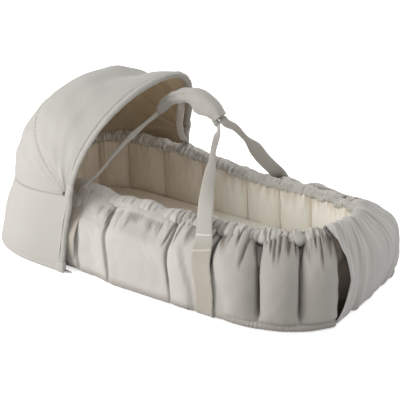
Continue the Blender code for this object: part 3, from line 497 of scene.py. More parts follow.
def refine(grid, rows=True):
    """Twice as many columns round the tub, and rows too unless told not to."""
    if rows:
        grid = doubled(grid, False)
    return doubled(grid.swapaxes(0, 1), True).swapaxes(0, 1)


def at_columns(values, last, count, steps):
    """A row's values, which go round to the last one, at columns that are finer by some steps."""
    return np.interp(np.arange(count) / steps, np.arange(len(values) + 1), np.append(values, last))


# Wall of the tub

# Widths of the near side's channels from the foot to the head, and the seams between them all round
WEIGHTS = np.array((7.5, 9.0, 7.2, 5.6, 8.8, 14.2, 7.5, 10.2, 11.2, 11.3, 4.8))
NEAR_SEAMS = np.cumsum(WEIGHTS)[:-1] / WEIGHTS.sum() * GIRTH
SEAMS = np.concatenate([NEAR_SEAMS, -NEAR_SEAMS[::-1]])
# Profiles as inset from the belly and height: the wall from the floor up, and the lining from the rim down
OUTER = np.array(((0.026, 0.0006), (0.009, 0.0014), (0.0015, 0.0090), (-0.001, 0.036), (0.001, 0.078),
                  (0.010, 0.106), (0.028, 0.1275), (0.050, 0.1430), (0.073, 0.1525)))
INNER = np.array(((0.094, 0.146), (0.098, 0.139), (0.096, 0.120), (0.094, 0.090), (0.092, 0.062),
                  (0.089, 0.038), (0.085, 0.020)))
# The foot cover's profile, from under the base over the rim and down inside
COVER_PATH = np.array(((0.050, 0.0010), (0.030, 0.0008), (0.014, 0.0035), (0.004, 0.018), (-0.003, 0.050),
                       (-0.003, 0.082), (0.003, 0.110), (0.022, 0.133), (0.047, 0.150), (0.070, 0.1610),
                       (0.088, 0.1620), (0.1005, 0.1530), (0.1010, 0.1410)))


def foot_lean(s, z):
    """How much further in the foot end stands towards the floor."""
    return 0.019 * (1 - ramp(np.abs(wrap(s)), 0.040, 0.098)) * (1 - ramp(z, 0.0, 0.090))


def profile(points, shares):
    """Inset, height and normal of a profile at shares of its length, on a smooth curve."""
    dense = points
    for _ in range(4):
        dense = doubled(dense, False)
    length = length_along(dense)
    t = np.asarray(shares) * length[-1]
    inset = np.interp(t, length, dense[:, 0])
    z = np.interp(t, length, dense[:, 1])
    along = np.stack([np.gradient(-inset, t), np.gradient(z, t)], -1)
    along /= np.linalg.norm(along, axis=1, keepdims=True)
    return inset, z, along[:, 1], -along[:, 0]


def channel_columns(seams, count):
    """Stations of the columns round the tub, with each one's share of its channel and channel number."""
    ordered = np.sort(seams)
    stations, shares, numbers = [], [], []
    for i, start in enumerate(ordered):
        end = ordered[i + 1] if i + 1 < len(ordered) else ordered[0] + ROUND
        k = max(8, int(round(count * (end - start) / 0.09)))
        even = np.arange(k) / k
        u = even - 0.05 * np.sin(2 * np.pi * even)
        stations.append(start + u * (end - start))
        shares.append(u)
        numbers.append(np.full(k, i))
    return np.concatenate(stations), np.concatenate(shares), np.concatenate(numbers)


def pleats(seed, low, high):
    """Gathers round the rim: sharp valleys and round ridges whose spacing wanders. Phase can be moved."""
    wander = Wave(seed, 0.07)
    strength = Wave(seed + 1, 0.05)
    count = round(ROUND / ((low + high) / 2))

    def value(s, shift):
        phase = math.pi * count * s / ROUND + 1.6 * wander(s) + shift
        ridge = np.abs(np.sin(phase)) ** 0.75
        return ridge * (0.75 + 0.25 * strength(s)).clip(0.25, 1.3)

    return value


GATHER = pleats(11, 0.0100, 0.0160)
FINE = pleats(23, 0.0050, 0.0080)


def lean(s, z):
    """How far the seams of the straight sides run towards the head on their way up."""
    side = ramp(np.abs(s), 0.20, 0.30) * (1 - ramp(np.abs(s), 0.68, 0.80))
    return np.sign(s) * 0.020 * side * z / 0.14


def strap_dent(s, z):
    """1 under a wall strap, 0 away from it."""
    total = 0
    for path in WALL_STRAPS.values():
        x = np.interp(z, path[:, 2], path[:, 0])
        side = -1.0 if path[0, 1] > 0 else 1.0
        at = side * (X_FOOT + QUARTER - x)
        total = total + 1 - ramp(np.abs(s - at), 0.019, 0.034)
    return np.clip(total, 0, 1)


WALL_ROWS = 46


def wall_cloth(s, u, number):
    """The wall's cloth before it is inflated: its points, how firmly each is held, and the rows' heights."""
    inset, z, out, up = profile(OUTER, np.linspace(0, 1, WALL_ROWS))
    S, U, Z = s[None, :], u[None, :], z[:, None]
    x_at = ring(0.0, s)[0]
    foot_half = ramp(x_at, 0.075, 0.20)
    under_hood = ramp(-x_at, 0.13, 0.17)
    rng = np.random.default_rng(5)
    fullness = rng.uniform(0.85, 1.1, 40)[number % 40]
    depth = (0.0090 + 0.0140 * foot_half - 0.004 * under_hood) * fullness
    pillow = (1 - np.abs(2 * U - 1) ** (2.4 - 0.3 * foot_half)).clip(0, 1) ** 0.5
    band_top = 0.001 + 0.017 * foot_half
    low = (1 - ((band_top + 0.026 - Z) / 0.026).clip(0, 1) ** 2.2).clip(0, 1) ** 0.5
    seam_depth = depth * ramp(Z, band_top - 0.004, band_top + 0.022)
    above_band = Z > band_top * 0.8
    offset = -seam_depth * (1 - pillow)
    offset = offset + (0.0025 + 0.004 * foot_half) * pillow * low
    offset = offset - 0.0050 * foot_half * (1 - low) * above_band
    offset = offset - 0.0030 * ramp(Z, 0.112, 0.132)
    covered = 1 - ramp(np.abs(wrap(S)), 0.080, 0.094)
    cover_at = np.interp(z, COVER_PATH[2:9, 1], COVER_PATH[2:9, 0])
    under_cover = (cover_at - inset).clip(0, 1)[:, None] + 0.0035
    slot = ramp(S, 0.050, 0.070) * 0.012 * ramp(Z, 0.0, 0.03) * (1 - ramp(Z, 0.105, 0.125))
    pull = covered * (under_cover + slot) + foot_lean(S, Z)
    offset = offset * (1 - covered)
    dent = strap_dent(S, Z)
    offset = offset * (1 - dent) - 0.0022 * dent
    grid = place(inset[:, None], S + lean(S, Z), offset * out[:, None] - hood_room(S, Z) - pull,
                 Z + offset * up[:, None])
    slant = field(3, (0.030, 0.060))
    drag = field(4, (0.018, 0.070))
    uneven = 0.0002 * slant(S + 0.35 * Z, Z) + 0.00015 * drag(S - 0.5 * Z, Z)
    grid = grid + normals_of(grid, True) * (uneven * pillow * low * (1 - dent))[..., None]
    seam = np.minimum(U, 1 - U)
    held = np.where(seam < 0.02, 1.0, 0.0) * np.ones_like(Z)
    held[:3] = 1.0
    held[-5:] = 1.0
    held = np.maximum(held, (Z < band_top * 0.9) * 0.8)
    held = np.maximum(held, dent > 0.3)
    held = np.maximum(held, covered * np.ones_like(Z))
    return grid, held, z


def wall_gathers(C, fz):
    """The gathers under the rim: how far they lift the cloth, and the painted shade in their valleys."""
    fv = np.linspace(0, 1, len(fz))[:, None]
    x = ring(0.0, C)[0]
    near = near_side(C)
    foot = near * ramp(x, 0.050, 0.085) + (1 - near) * ramp(x, -0.02, 0.10)
    smooth_panel = 1 - (0.75 + 0.2 * near) * ramp(-x, 0.075, 0.095)
    shirred = near * (1 - foot)
    reach = 0.71 + 0.06 * Wave(31, 0.030)(C) + 0.04 * foot
    reach = reach + 0.055 * shirred
    zone = ramp(fv, reach, reach + 0.15 - 0.04 * shirred) * smooth_panel
    zone = zone * (1 - 0.85 * shirred * ramp(fv, 0.875, 0.915))
    leaning = C + lean(C, fz)
    broad = GATHER(leaning, 3.0 * (fv - 1)) - 0.55
    small = FINE(leaning, 4.0 * (fv - 1)) - 0.5
    tight = FINE(1.4 * leaning, 2.0 * (fv - 1)) - 0.5
    small = small * (1 - shirred) + tight * shirred
    lift = zone * (broad * (0.0010 + 0.0066 * foot) + small * (0.0040 - 0.0022 * foot))
    lift = lift + 0.0015 * shirred * smooth_panel * ramp(fv, 0.885, 0.93)
    lift = lift + 0.00008 * field(7, (0.018, 0.030))(C, fz) * (1 - zone)
    lift = lift + 0.0014 * small * (1 - ramp(fz, 0.014, 0.026)) * ramp(x, 0.06, 0.12)
    lift = lift * (1 - 0.7 * strap_dent(C, fz)) * ramp(np.abs(wrap(C)), 0.060, 0.090)
    # Painted shade in the valleys of the gathers.
    dark = zone * (0.35 - broad * (0.5 + 0.6 * foot) - 0.3 * small).clip(0, 0.8)
    return lift, dark


def wall_shade(C, share, fz, gathers):
    """Painted shade on the wall: in its seams and gathers, a painted shadow beside the cover, darker towards
    the foot for the light's fall-off, and a painted contact shadow at the floor.
    """
    x = ring(0.0, C)[0]
    near = near_side(C)
    seam_near = bell(np.minimum(share, 1 - share)[None, :], 0, 0.04)
    fade = ramp(fz, 0.02, 0.05) * np.ones_like(C)
    # Painted shade in the seams, stronger towards the foot.
    dark = 0.75 * seam_near * fade * (0.35 + 0.65 * ramp(x, -0.05, 0.12))
    dark = np.maximum(dark, gathers)
    # Painted shadow in the slot beside the foot cover.
    dark = np.maximum(dark, 1 - ramp(np.abs(wrap(C)), 0.084, 0.092) * np.ones_like(fz))
    # Painted fall-off of the light towards the foot.
    dark = (dark + 0.34 * near * ramp(x, 0.10, 0.29)).clip(0, 1)
    # Painted contact shadow along the floor.
    return np.maximum(dark, 0.5 * (1 - ramp(fz, 0.006, 0.024)))


def outer_wall():
    """The wall's outer cover with its padded channels and gathers."""
    s, u, number = channel_columns(SEAMS, 17)
    grid, held, z = wall_cloth(s, u, number)
    fine = refine(puff(grid, held, 4.0, 0.011, frames=20, smoothing=20))
    fine = refine(fine, rows=False)
    rows, cols = fine.shape[:2]
    C = at_columns(s, s[0] + ROUND, cols, 4)[None, :]
    share = at_columns(u, 1.0, cols, 4)
    fz = np.interp(np.arange(rows) / 2, np.arange(WALL_ROWS), z)[:, None]
    lift, gathers = wall_gathers(C, fz)
    normal = normals_of(fine, True)
    out_sign = np.sign((normal[..., :2] * np.stack(outward(0.0, C), -1)).sum(-1).mean())
    fine = fine + normal * out_sign * lift[..., None]
    dark = wall_shade(C, share, fz, gathers)
    inset, low_z, out, up = (column[:, None] for column in profile(OUTER, np.linspace(0, 1, rows)))
    behind = 0.006 * (1 - ramp(np.abs(wrap(C)), 0.086, 0.110)) + foot_lean(C, low_z)
    back = place(inset, C, -0.030 * out - hood_room(C, low_z) - behind, (low_z - 0.016 * up).clip(0.006, 1))
    back[0] = place(0.070, C[0], 0.0, 0.0052)
    obj = shell("wall_quilt", fine, back, [SHELL], around=True)
    # The wall's back faces take painted shade at half strength.
    attribute(obj, "painted_shade", np.concatenate([dark.ravel(), np.full(rows * cols, 0.5)]))
    dress(obj, "tub", "shell", "outer_cover", *[f"side_bolster_{i:02d}" for i in range(1, 21)])


def station_at(x, inset):
    """Station on the near side where the outline passes a place along the tub."""
    s = np.linspace(0, GIRTH, 4000)
    return float(np.interp(-x, -ring(inset, s)[0], s))


def shade_to_head(x):
    """Painted shade from the hood: the lining's colour runs from cream at the foot to tan at the head."""
    return ramp(-x, -0.040, 0.100)


# Where the lining's seams are along the tub, and the station of the last one, at the head
LINING_SEAMS = (0.292, 0.188, 0.118, 0.043, -0.061, -0.156, -0.241)
LAST_SEAM = 0.822


def lining():
    """The cream lining, quilted in the channels that the photo shows."""
    near = np.array([station_at(x, 0.09) for x in LINING_SEAMS] + [LAST_SEAM])
    seams = np.concatenate([near, -near[::-1]])
    s, u, _ = channel_columns(seams, 15)
    rows = 34
    inset, z = profile(INNER, np.linspace(0, 1, rows))[:2]
    S, U, Z = s[None, :], u[None, :], z[:, None]
    pillow = (1 - np.abs(2 * U - 1) ** 2.4).clip(0, 1) ** 0.55
    top = 1 - 0.5 * ((Z - 0.115) / 0.03).clip(0, 1) ** 2
    low = 1 - 0.6 * ((0.045 - Z) / 0.02).clip(0, 1) ** 2
    offset = 0.0085 * (0.9 * pillow * top * low - 0.75)
    grid = place(inset[:, None], S, -offset, Z + 0 * S)
    held = (np.minimum(U, 1 - U) < 0.02) * np.ones_like(Z)
    held[:3] = 1
    held[-3:] = 1
    grid = puff(grid[:, ::-1], held[:, ::-1], 2.2, 0.006, frames=16, smoothing=6)[:, ::-1]
    fine = refine(grid)
    fine_rows, cols = fine.shape[:2]
    C = at_columns(s, s[0] + ROUND, cols, 2)[None, :]
    share = at_columns(u, 1.0, cols, 2)
    fz = np.interp(np.arange(fine_rows) / 2, np.arange(rows), z)[:, None]
    zone = ramp(fz, 0.104 + 0.010 * Wave(41, 0.03)(C), 0.142)
    pleat = GATHER(C, 2.0) - 0.55
    lift = zone * 0.0040 * pleat + 0.0003 * field(9, (0.02, 0.03))(C, fz)
    nx, ny = outward(0.09, C)
    inward = np.stack([-nx, -ny, 0 * nx], -1) * np.ones((fine_rows, 1, 1))
    fine = fine + inward * lift[..., None]
    # Painted shade in the seams and in the gathers' valleys, and towards the head where the hood shades the
    # lining.
    seam_near = bell(np.minimum(share, 1 - share)[None, :], 0, 0.03) * np.ones_like(fz)
    dark = np.maximum(0.8 * seam_near, zone * (0.45 - pleat * 0.8).clip(0, 0.55))
    dark = np.maximum(dark, 0.50 * shade_to_head(ring(0.0, C)[0]) * np.ones_like(fz))
    back_inset, back_z = profile(INNER, np.linspace(0, 1, fine_rows))[:2]
    back = place((back_inset - 0.014)[:, None], C, 0.0, back_z[:, None] + 0 * C)
    obj = shell("inner_lining_quilt", fine, back, [LINING], around=True)
    attribute(obj, "painted_shade", np.concatenate([dark.ravel(), np.zeros(fine_rows * cols)]))
    dress(obj, "tub", "lining", "inner_lining")


# The rim's section as inset from the belly and height, and its middle
RIM = np.array(((0.0975, 0.1385), (0.0995, 0.1480), (0.0920, 0.1560), (0.0800, 0.1580), (0.0690, 0.1530),
                (0.0640, 0.1450), (0.0690, 0.1370), (0.0840, 0.1330)))
RIM_MIDDLE = np.array((0.078, 0.146))


def closed_curve(points, count):
    """A smooth closed curve through the points, at equal steps, with its outward normals."""
    dense = points
    for _ in range(5):
        dense = doubled(dense, True)
    dense = np.concatenate([dense, dense[:1]])
    length = length_along(dense)
    t = np.arange(count) / count * length[-1]
    curve = np.stack([np.interp(t, length, dense[:, k]) for k in (0, 1)], -1)
    along = np.roll(curve, -1, 0) - np.roll(curve, 1, 0)
    along /= np.linalg.norm(along, axis=1, keepdims=True)
    normal = np.stack([along[:, 1], -along[:, 0]], -1)
    centre = curve.mean(0)
    if ((curve - centre) * normal).sum() < 0:
        normal = -normal
    return curve, normal


def rim():
    """The gathered casing round the top."""
    cols, turns = 1500, 44
    s = np.linspace(-GIRTH, GIRTH, cols, endpoint=False)
    curve, normal = closed_curve(RIM, turns)
    S = s[None, :]
    K = np.arange(turns)[:, None] / turns
    x_at = ring(0.08, S)[0]
    covered = 1 - ramp(np.abs(S), 0.085, 0.120)
    near = near_side(S)
    calm = near * ramp(-x_at, -0.085, -0.035) * (0.72 + 0.2 * ramp(-x_at, 0.08, 0.11))
    strength = (1 - calm) * (1 - 0.4 * covered)
    outer_part = 1 - ramp(curve[:, :1], 0.070, 0.094)
    warp = 0.9 * Wave(53, 0.02)(S) * np.sin(2 * math.pi * K)
    ridge = GATHER(S, 0.5 * warp) - 0.5
    small = FINE(S, 2.0 * np.cos(2 * math.pi * K) + warp) - 0.5
    far = 1 - ramp(S, -0.16, -0.06) + ramp(S, 0.93, 0.97)
    crumple = field(55, (0.013, 0.30))(S, K) + 0.6 * field(56, (0.008, 0.20))(S, K)
    grow = strength * (0.0050 * ridge * (1 - 0.72 * far) + 0.0020 * small * (1 - 0.3 * far))
    grow = grow + strength * (0.0006 + 0.0004 * far) * crumple - 0.0016 * far
    lump = 0.0016 * Wave(57, 0.075)(S) * (1 - covered)
    shrink = 1 - 0.28 * covered
    q = RIM_MIDDLE + (curve - RIM_MIDDLE)[:, None, :] * shrink[..., None]
    q = q + normal[:, None, :] * grow[..., None]
    lean_s = 0.0020 * Wave(59, 0.013)(S) * outer_part
    grid = place(RIM_MIDDLE[0], S + lean_s + lean(S, 0.14), RIM_MIDDLE[0] - q[..., 0], q[..., 1] + lump)
    obj = new_object("rim_gathers", grid.reshape(-1, 3), quads(turns, cols, rows_round=True), [SHELL])
    recalc(obj)
    # Painted shade in the valleys of the gathers, and in the crumples on the far side.
    valleys = (0.22 - ridge) * 0.95 * (1 - 0.85 * far) + (0.15 - small) * 0.5 * (1 - 0.7 * far)
    dark = np.maximum(strength * valleys.clip(0, 1), far * (-0.70 - 0.45 * crumple).clip(0, 0.6))
    attribute(obj, "painted_shade", dark * np.ones((turns, cols)))
    dress(obj, "tub", "shell", "rim_casing")


def elastic():
    """The round elastic in the rim's tunnel."""
    cols, around, radius = 700, 12, 0.0026
    s = np.linspace(-GIRTH, GIRTH, cols, endpoint=False)[None, :]
    a = np.linspace(0, 2 * math.pi, around, endpoint=False)[:, None]
    grid = place(0.082, s, radius * np.cos(a), 0.1465 + radius * np.sin(a))
    faces = quads(around, cols, rows_round=True)
    obj = new_object("rim_elastic_round", grid.reshape(-1, 3), faces, [LINING])
    recalc(obj)
    attribute(obj, "painted_shade", np.zeros(around * cols))
    dress(obj, "tub", "elastic", "rim_elastic")


# Base, mattress and foot cover

def cushion(name, inset, low, high, rounding, mats, crown=0.0):
    """A flat pad in the outline of the tub at an inset, rounded at its edge."""
    cols = 240
    s = np.linspace(-GIRTH, GIRTH, cols, endpoint=False)
    middle = (high - low) / 2
    path = [(share, low, -rounding * share) for share in (0.0, 0.3, 0.6, 0.85)]
    for a in np.linspace(-math.pi / 2, math.pi / 2, 9):
        path.append((1.0, low + middle + middle * math.sin(a), rounding * (math.cos(a) - 1)))
    path += [(share, high, -rounding * share) for share in (0.93, 0.85, 0.7, 0.5, 0.3, 0.12, 0.0)]
    x, y = ring(inset, s)
    nx, ny = outward(inset, s)
    spine = x.clip(-0.18, 0.18)
    rows = []
    for share, z, bulge in path:
        top = crown * (1 - share ** 2) if z == high else 0.0
        px = spine + (x - spine) * share
        py = y * share
        rows.append(np.stack([px + bulge * nx * share, py + bulge * ny * share, np.full(cols, z + top)], -1))
    obj = new_object(name, np.concatenate(rows), quads(len(rows), cols), mats)
    bm = bmesh.new()
    bm.from_mesh(obj.data)
    bmesh.ops.remove_doubles(bm, verts=bm.verts[:], dist=1e-5)
    bmesh.ops.holes_fill(bm, edges=[e for e in bm.edges if e.is_boundary])
    bmesh.ops.recalc_face_normals(bm, faces=bm.faces[:])
    bm.to_mesh(obj.data)
    bm.free()
    return obj


def mattress():
    obj = cushion("mattress_pad", 0.080, 0.0078, 0.0350, 0.014, [LINING], crown=0.002)
    # Painted shade towards the head, where the hood shades it, as on the lining.
    attribute(obj, "painted_shade", [0.50 * float(shade_to_head(v.co.x)) for v in obj.data.vertices])
    dress(obj, "tub", "mattress", "mattress")


def base():
    obj = cushion("base_fabric", 0.062, 0.0003, 0.0040, 0.002, [SHELL])
    attribute(obj, "painted_shade", np.zeros(len(obj.data.vertices)))
    dress(obj, "tub", "shell", "base_panel")


def foot_cover():
    """The plain apron over the foot end, wider on the far side."""
    cols, rows = 150, 120
    inset, z, out, up = (column[:, None] for column in profile(COVER_PATH, np.linspace(0, 1, rows)))
    v = np.linspace(0, 1, rows)[:, None]
    u = np.linspace(-1, 1, cols)[None, :]
    far_half = 0.112 - 0.016 * ramp(v, 0.25, 0.75)
    near_half = np.interp(v, (0.0, 0.16, 0.28, 0.45, 0.60, 0.72, 0.85, 1.0),
                          (0.098, 0.094, 0.082, 0.070, 0.072, 0.082, 0.096, 0.100))
    S = np.where(u > 0, u * near_half, u * far_half)
    edge = 1 - ramp(1 - np.abs(u), 0.0, 0.22)
    broad = field(61, (0.019, 1.1), terms=10)(S / (1 + 0.35 * (1 - v)), v)
    small = field(62, (0.010, 0.6), terms=10)(S, v)
    ridge = 0.0013 * broad * ramp(v, 0.03, 0.16) + 0.0008 * small * ramp(v, 0.30, 0.65)
    ridge = ridge + 0.0060 * np.sin(math.pi * v.clip(0, 0.8) / 0.8) ** 2 * edge * (u > 0)
    ridge = ridge + 0.0015 * np.sin(math.pi * v.clip(0, 1)) * edge * (u <= 0)
    grid = place(inset + foot_lean(S, z), S, ridge * out, z + ridge * up)
    thick = 0.0014
    n = normals_of(grid)
    sign = np.sign((n[rows // 2, :, 0]).mean())
    obj = shell("foot_cover_apron", grid, grid - n * sign * thick, [COVER])
    dress(obj, "tub", "shell", "foot_cover")


# Straps

# The middle line of each strap up the wall, and of each free leg between the rim and the grip
WALL_STRAPS = {
    "near_foot": ((0.1560, -0.2040, 0.0060), (0.1590, -0.2100, 0.0173), (0.1600, -0.2112, 0.0508),
                  (0.1550, -0.2099, 0.0784), (0.1450, -0.1996, 0.1021), (0.1345, -0.1772, 0.1240)),
    "near_head": ((-0.1641, -0.1850, 0.0080), (-0.1631, -0.1920, 0.0176), (-0.1595, -0.1981, 0.0519),
                  (-0.1565, -0.1971, 0.0803), (-0.1539, -0.1869, 0.1048), (-0.1516, -0.1689, 0.1272)),
    "far_foot": ((0.1220, 0.2014, 0.0080), (0.1190, 0.2103, 0.0152), (0.1120, 0.2164, 0.0450),
                 (0.1050, 0.2154, 0.0695), (0.0990, 0.2051, 0.0907), (0.0940, 0.1827, 0.1100)),
    "far_head": ((-0.1388, 0.1880, 0.0080), (-0.1374, 0.1975, 0.0176), (-0.1326, 0.2036, 0.0519),
                 (-0.1287, 0.2026, 0.0803), (-0.1252, 0.1924, 0.1048), (-0.1221, 0.1744, 0.1272)),
}
WALL_STRAPS = {name: np.array(path) for name, path in WALL_STRAPS.items()}
LEG_MIDDLES = {
    "near_foot": ((0.1215, -0.150, 0.1752), (0.1068, -0.118, 0.2121), (0.0926, -0.085, 0.2358),
                  (0.0790, -0.057, 0.2545)),
    "near_head": ((-0.1504, -0.140, 0.1594), (-0.1352, -0.122, 0.1790), (-0.1230, -0.090, 0.2078),
                  (-0.1115, -0.058, 0.2322), (-0.0972, -0.030, 0.2529)),
    "far_foot": ((0.0855, 0.148, 0.1440), (0.0770, 0.122, 0.1730), (0.0748, 0.095, 0.2030),
                 (0.0726, 0.060, 0.2369), (0.0715, 0.028, 0.2665)),
    "far_head": ((-0.0860, 0.085, 0.1930), (-0.0655, 0.045, 0.2365), (-0.0475, 0.020, 0.2692)),
}
# Where each leg meets the webbing in the grip, and the way it leaves there
LEG_ENDS = {
    "near_foot": ((0.0490, -0.0021, 0.2821), (0.609, 0.0, -0.793)),
    "near_head": ((-0.0760, -0.0021, 0.2786), (-0.671, 0.0, -0.741)),
    "far_foot": ((0.0590, 0.0021, 0.2904), (0.647, 0.0, -0.763)),
    "far_head": ((-0.0360, 0.0021, 0.3036), (0.0, 0.0, -1.0)),
}
# Along each leg from the rim to the grip: share, width, and how the webbing is turned
LEG_TURNS = {
    "near_foot": ((0.0, 0.036, "flat"), (0.22, 0.032, "flat"), (0.50, 0.021, "face"), (0.68, 0.0105, "face"),
                  (0.80, 0.012, "face"), (1.0, 0.013, "upright")),
    "near_head": ((0.0, 0.030, "flat"), (0.13, 0.028, "flat"), (0.19, 0.006, "face"), (0.48, 0.0056, "face"),
                  (0.70, 0.0105, "face"), (0.86, 0.007, "face"), (1.0, 0.009, "upright")),
    "far_foot": ((0.0, 0.032, "flat"), (0.22, 0.026, "face"), (0.46, 0.027, "face"), (0.68, 0.011, "face"),
                 (1.0, 0.016, "face")),
    "far_head": ((0.0, 0.024, "flat"), (0.25, 0.012, "edge"), (0.60, 0.013, "face"), (1.0, 0.016, "flat")),
}
# The way the photo's camera looks
VIEW = np.array((-0.506, 0.765, -0.399))


def smooth_path(points, count):
    """A smooth curve through the points, with a number of steps."""
    pts = np.array(points, float)
    ends = np.concatenate([2 * pts[:1] - pts[1:2], pts, 2 * pts[-1:] - pts[-2:-1]])
    at = np.linspace(0, len(pts) - 1, count)
    k = np.minimum(at.astype(int), len(pts) - 2)
    t = (at - k)[:, None]
    a, b, c, d = ends[k], ends[k + 1], ends[k + 2], ends[k + 3]
    bend = (2 * a - 5 * b + 4 * c - d) * t ** 2 + (3 * b - a - 3 * c + d) * t ** 3
    return 0.5 * (2 * b + (c - a) * t + bend)


def unit(v):
    """Vectors of length 1."""
    return v / np.linalg.norm(v, axis=-1, keepdims=True).clip(1e-9)


def band(name, path, across, width, thick, mat, solid, cup=0.0, body="tub", slot="webbing", around=26,
         stitched=()):
    """A woven band along a path. across gives its width's direction; cup bends it over its width.
    stitched lists rows of stitches by their distance from the last point, or if negative from the first."""
    count = len(path)
    width, thick, cup = (np.broadcast_to(value, count)[:, None] for value in (width, thick, cup))
    along = unit(np.gradient(path, axis=0))
    side = unit(across - (across * along).sum(-1, keepdims=True) * along)
    up = np.cross(along, side)
    half = around // 2
    a = np.linspace(0, math.pi, half)
    flat = -np.cos(a)
    top = np.concatenate([flat, flat[::-1]])[None, :]
    sense = np.concatenate([np.ones(half), -np.ones(half)])[None, :]
    edge = (1 - np.abs(top) ** 8).clip(0, 1) ** 0.5
    selvedge = 1 + 0.28 * bell(np.abs(top), 0.88, 0.07)
    height = sense * thick / 2 * edge * selvedge
    bend = cup * (top ** 2 - 0.4)
    grid = (path[:, None, :] + side[:, None, :] * (top * width / 2)[..., None]
            + up[:, None, :] * (height + bend)[..., None])
    obj = loft(name, grid, [mat])
    step = length_along(path)
    uv = np.stack(np.broadcast_arrays(step[:, None], top * width / 2), -1).reshape(-1, 2)
    layer = obj.data.uv_layers.new(name="web")
    loops = np.zeros(len(obj.data.loops), np.int32)
    obj.data.loops.foreach_get("vertex_index", loops)
    layer.data.foreach_set("uv", uv[loops].astype(np.float32).ravel())
    thread = np.zeros(count)
    for at in stitched:
        row = step[-1] - at if at > 0 else -at
        thread = np.maximum(thread, bell(step, row, 0.0009))
    attribute(obj, "stitch", np.repeat(thread, half * 2))
    dress(obj, body, slot, solid)
    return obj


def loft(name, grid, mats):
    """A closed tube from a grid of sections, each a loop of points."""
    count, around = grid.shape[:2]
    faces = quads(count, around).tolist()
    faces.append(list(range(around))[::-1])
    faces.append(list(range((count - 1) * around, count * around)))
    obj = new_object(name, grid.reshape(-1, 3), faces, mats)
    recalc(obj)
    return obj


def leg_path(name):
    """The middle line of a free leg, from the end of its wall strap to its place in the grip."""
    wall = WALL_STRAPS[name]
    side = -1.0 if wall[0, 1] < 0 else 1.0
    up_wall = unit(wall[-1] - wall[-2])
    start = wall[-1] - up_wall * 0.004
    over = wall[-1] + up_wall * 0.018
    finish, away = (np.array(item) for item in LEG_ENDS[name])
    leaving = finish + away * 0.012
    leaving[1] += side * 0.0036
    return smooth_path([start, over, *LEG_MIDDLES[name], leaving, finish], 120)


def leg_shape(name, path):
    """The width and the width's direction along a leg."""
    along = unit(np.gradient(path, axis=0))
    ways = {"flat": np.tile((1.0, 0.0, 0.0), (len(path), 1)), "edge": np.tile(-VIEW, (len(path), 1)),
            "upright": np.tile((0.0, 0.0, 1.0), (len(path), 1)), "face": np.cross(along, VIEW)}
    ways["face"] *= np.sign(ways["face"][:, :1] + 1e-9)
    length = length_along(path)
    t = length / length[-1]
    width = np.zeros(len(path))
    across = np.zeros_like(path)
    keys = LEG_TURNS[name]
    last = None
    for (t0, w0, k0), (t1, w1, k1) in zip(keys, keys[1:]):
        part = (t >= t0) & (t <= t1 + 1e-9)
        share = ramp(t[part], t0, t1)[:, None]
        a, b = unit(ways[k0][part]), unit(ways[k1][part])
        if last is not None and (a[0] * last).sum() < 0:
            a = -a
        if (a[-1] * b[-1]).sum() < 0:
            b = -b
        width[part] = w0 + (w1 - w0) * share[:, 0]
        across[part] = a + (b - a) * share
        last = across[part][-1]
    return width, across


def grip_z(x):
    """Height of the grip's middle line, which is arched."""
    x = np.asarray(x, float)
    head = 0.3234 - 0.0404 * ((x - 0.004) / 0.076) ** 2
    foot = 0.3234 - 0.0284 * ((x - 0.004) / 0.051) ** 2
    return np.where(x < 0.004, head, foot)


def grip_points(x, y, height):
    """Points at heights square to the grip's middle line."""
    slope = (grip_z(x + 0.0005) - grip_z(x - 0.0005)) / 0.001
    size = np.sqrt(1 + slope ** 2)
    x, y, height = np.broadcast_arrays(x, y, height)
    return np.stack([x - height * slope / size, y, grip_z(x) + height / size], -1)


def wall_strap(name, wall, stitched):
    """The webbing up the wall, tucked under the base at its lower end."""
    path = smooth_path(wall, 60)
    path[:, 1] += np.sign(path[:, 1]) * 0.0004
    low = path[0]
    tuck = np.array((low[0], low[1] * 0.975, 0.0016))
    under = tuck - (0, 0.020 * np.sign(low[1]), 0.0003)
    path = smooth_path(np.concatenate([[under, tuck], path[np.linspace(0, 59, 15).astype(int)]]), 150)
    across = np.tile((1.0, 0.0, 0.0), (150, 1))
    band(f"{name}_wall_webbing", path, across, 0.037, 0.0022, WEB_LOW, f"{name}_wall_strap", cup=-0.0006,
         stitched=stitched)


def strap_leg(name, stitched):
    """The free webbing from the rim to the grip. It stretches between the tub and the handle."""
    path = leg_path(name)
    width, across = leg_shape(name, path)
    t = np.linspace(0, 1, len(path))
    cup = 0.0026 * np.sin(math.pi * t) ** 2 * (width / 0.03).clip(0, 1)
    thick = 0.0020 + 0.0014 * ramp(t, 0.6, 1.0)
    if name == "far_head":
        cup = cup + 0.0035 * ramp(t, 0.45, 0.75)
    obj = band(f"{name}_leg_webbing", path, across, width, thick, WEB, f"{name}_strap_leg", cup=cup,
               body=None, stitched=stitched)
    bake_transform(obj)


def straps():
    """Wall straps, free legs and the two runs of webbing inside the grip."""
    for name, wall in WALL_STRAPS.items():
        sewn = name.endswith("foot")
        wall_strap(name, wall, (0.010,) if sewn else ())
        strap_leg(name, (-0.024,) if sewn else ())
    for name, side, head in (("near", -1.0, -0.076), ("far", 1.0, -0.066)):
        x = np.linspace(head, 0.059, 60)
        sink = 0.013 * ramp(x, 0.026, 0.059) if side < 0 else 0.0 * x
        path = grip_points(x, side * 0.0021, -sink)
        across = np.tile((0.0, 0.0, 1.0), (60, 1))
        band(f"{name}_grip_webbing", path, across, 0.014, 0.0036, WEB, f"{name}_top_strap", body="handle")


# The wrap's section, from the grip's middle line: half widths inside and outside, heights inside and outside
IN_Y, OUT_Y = 0.0048, 0.0112
IN_TOP, OUT_TOP = 0.0076, 0.0140


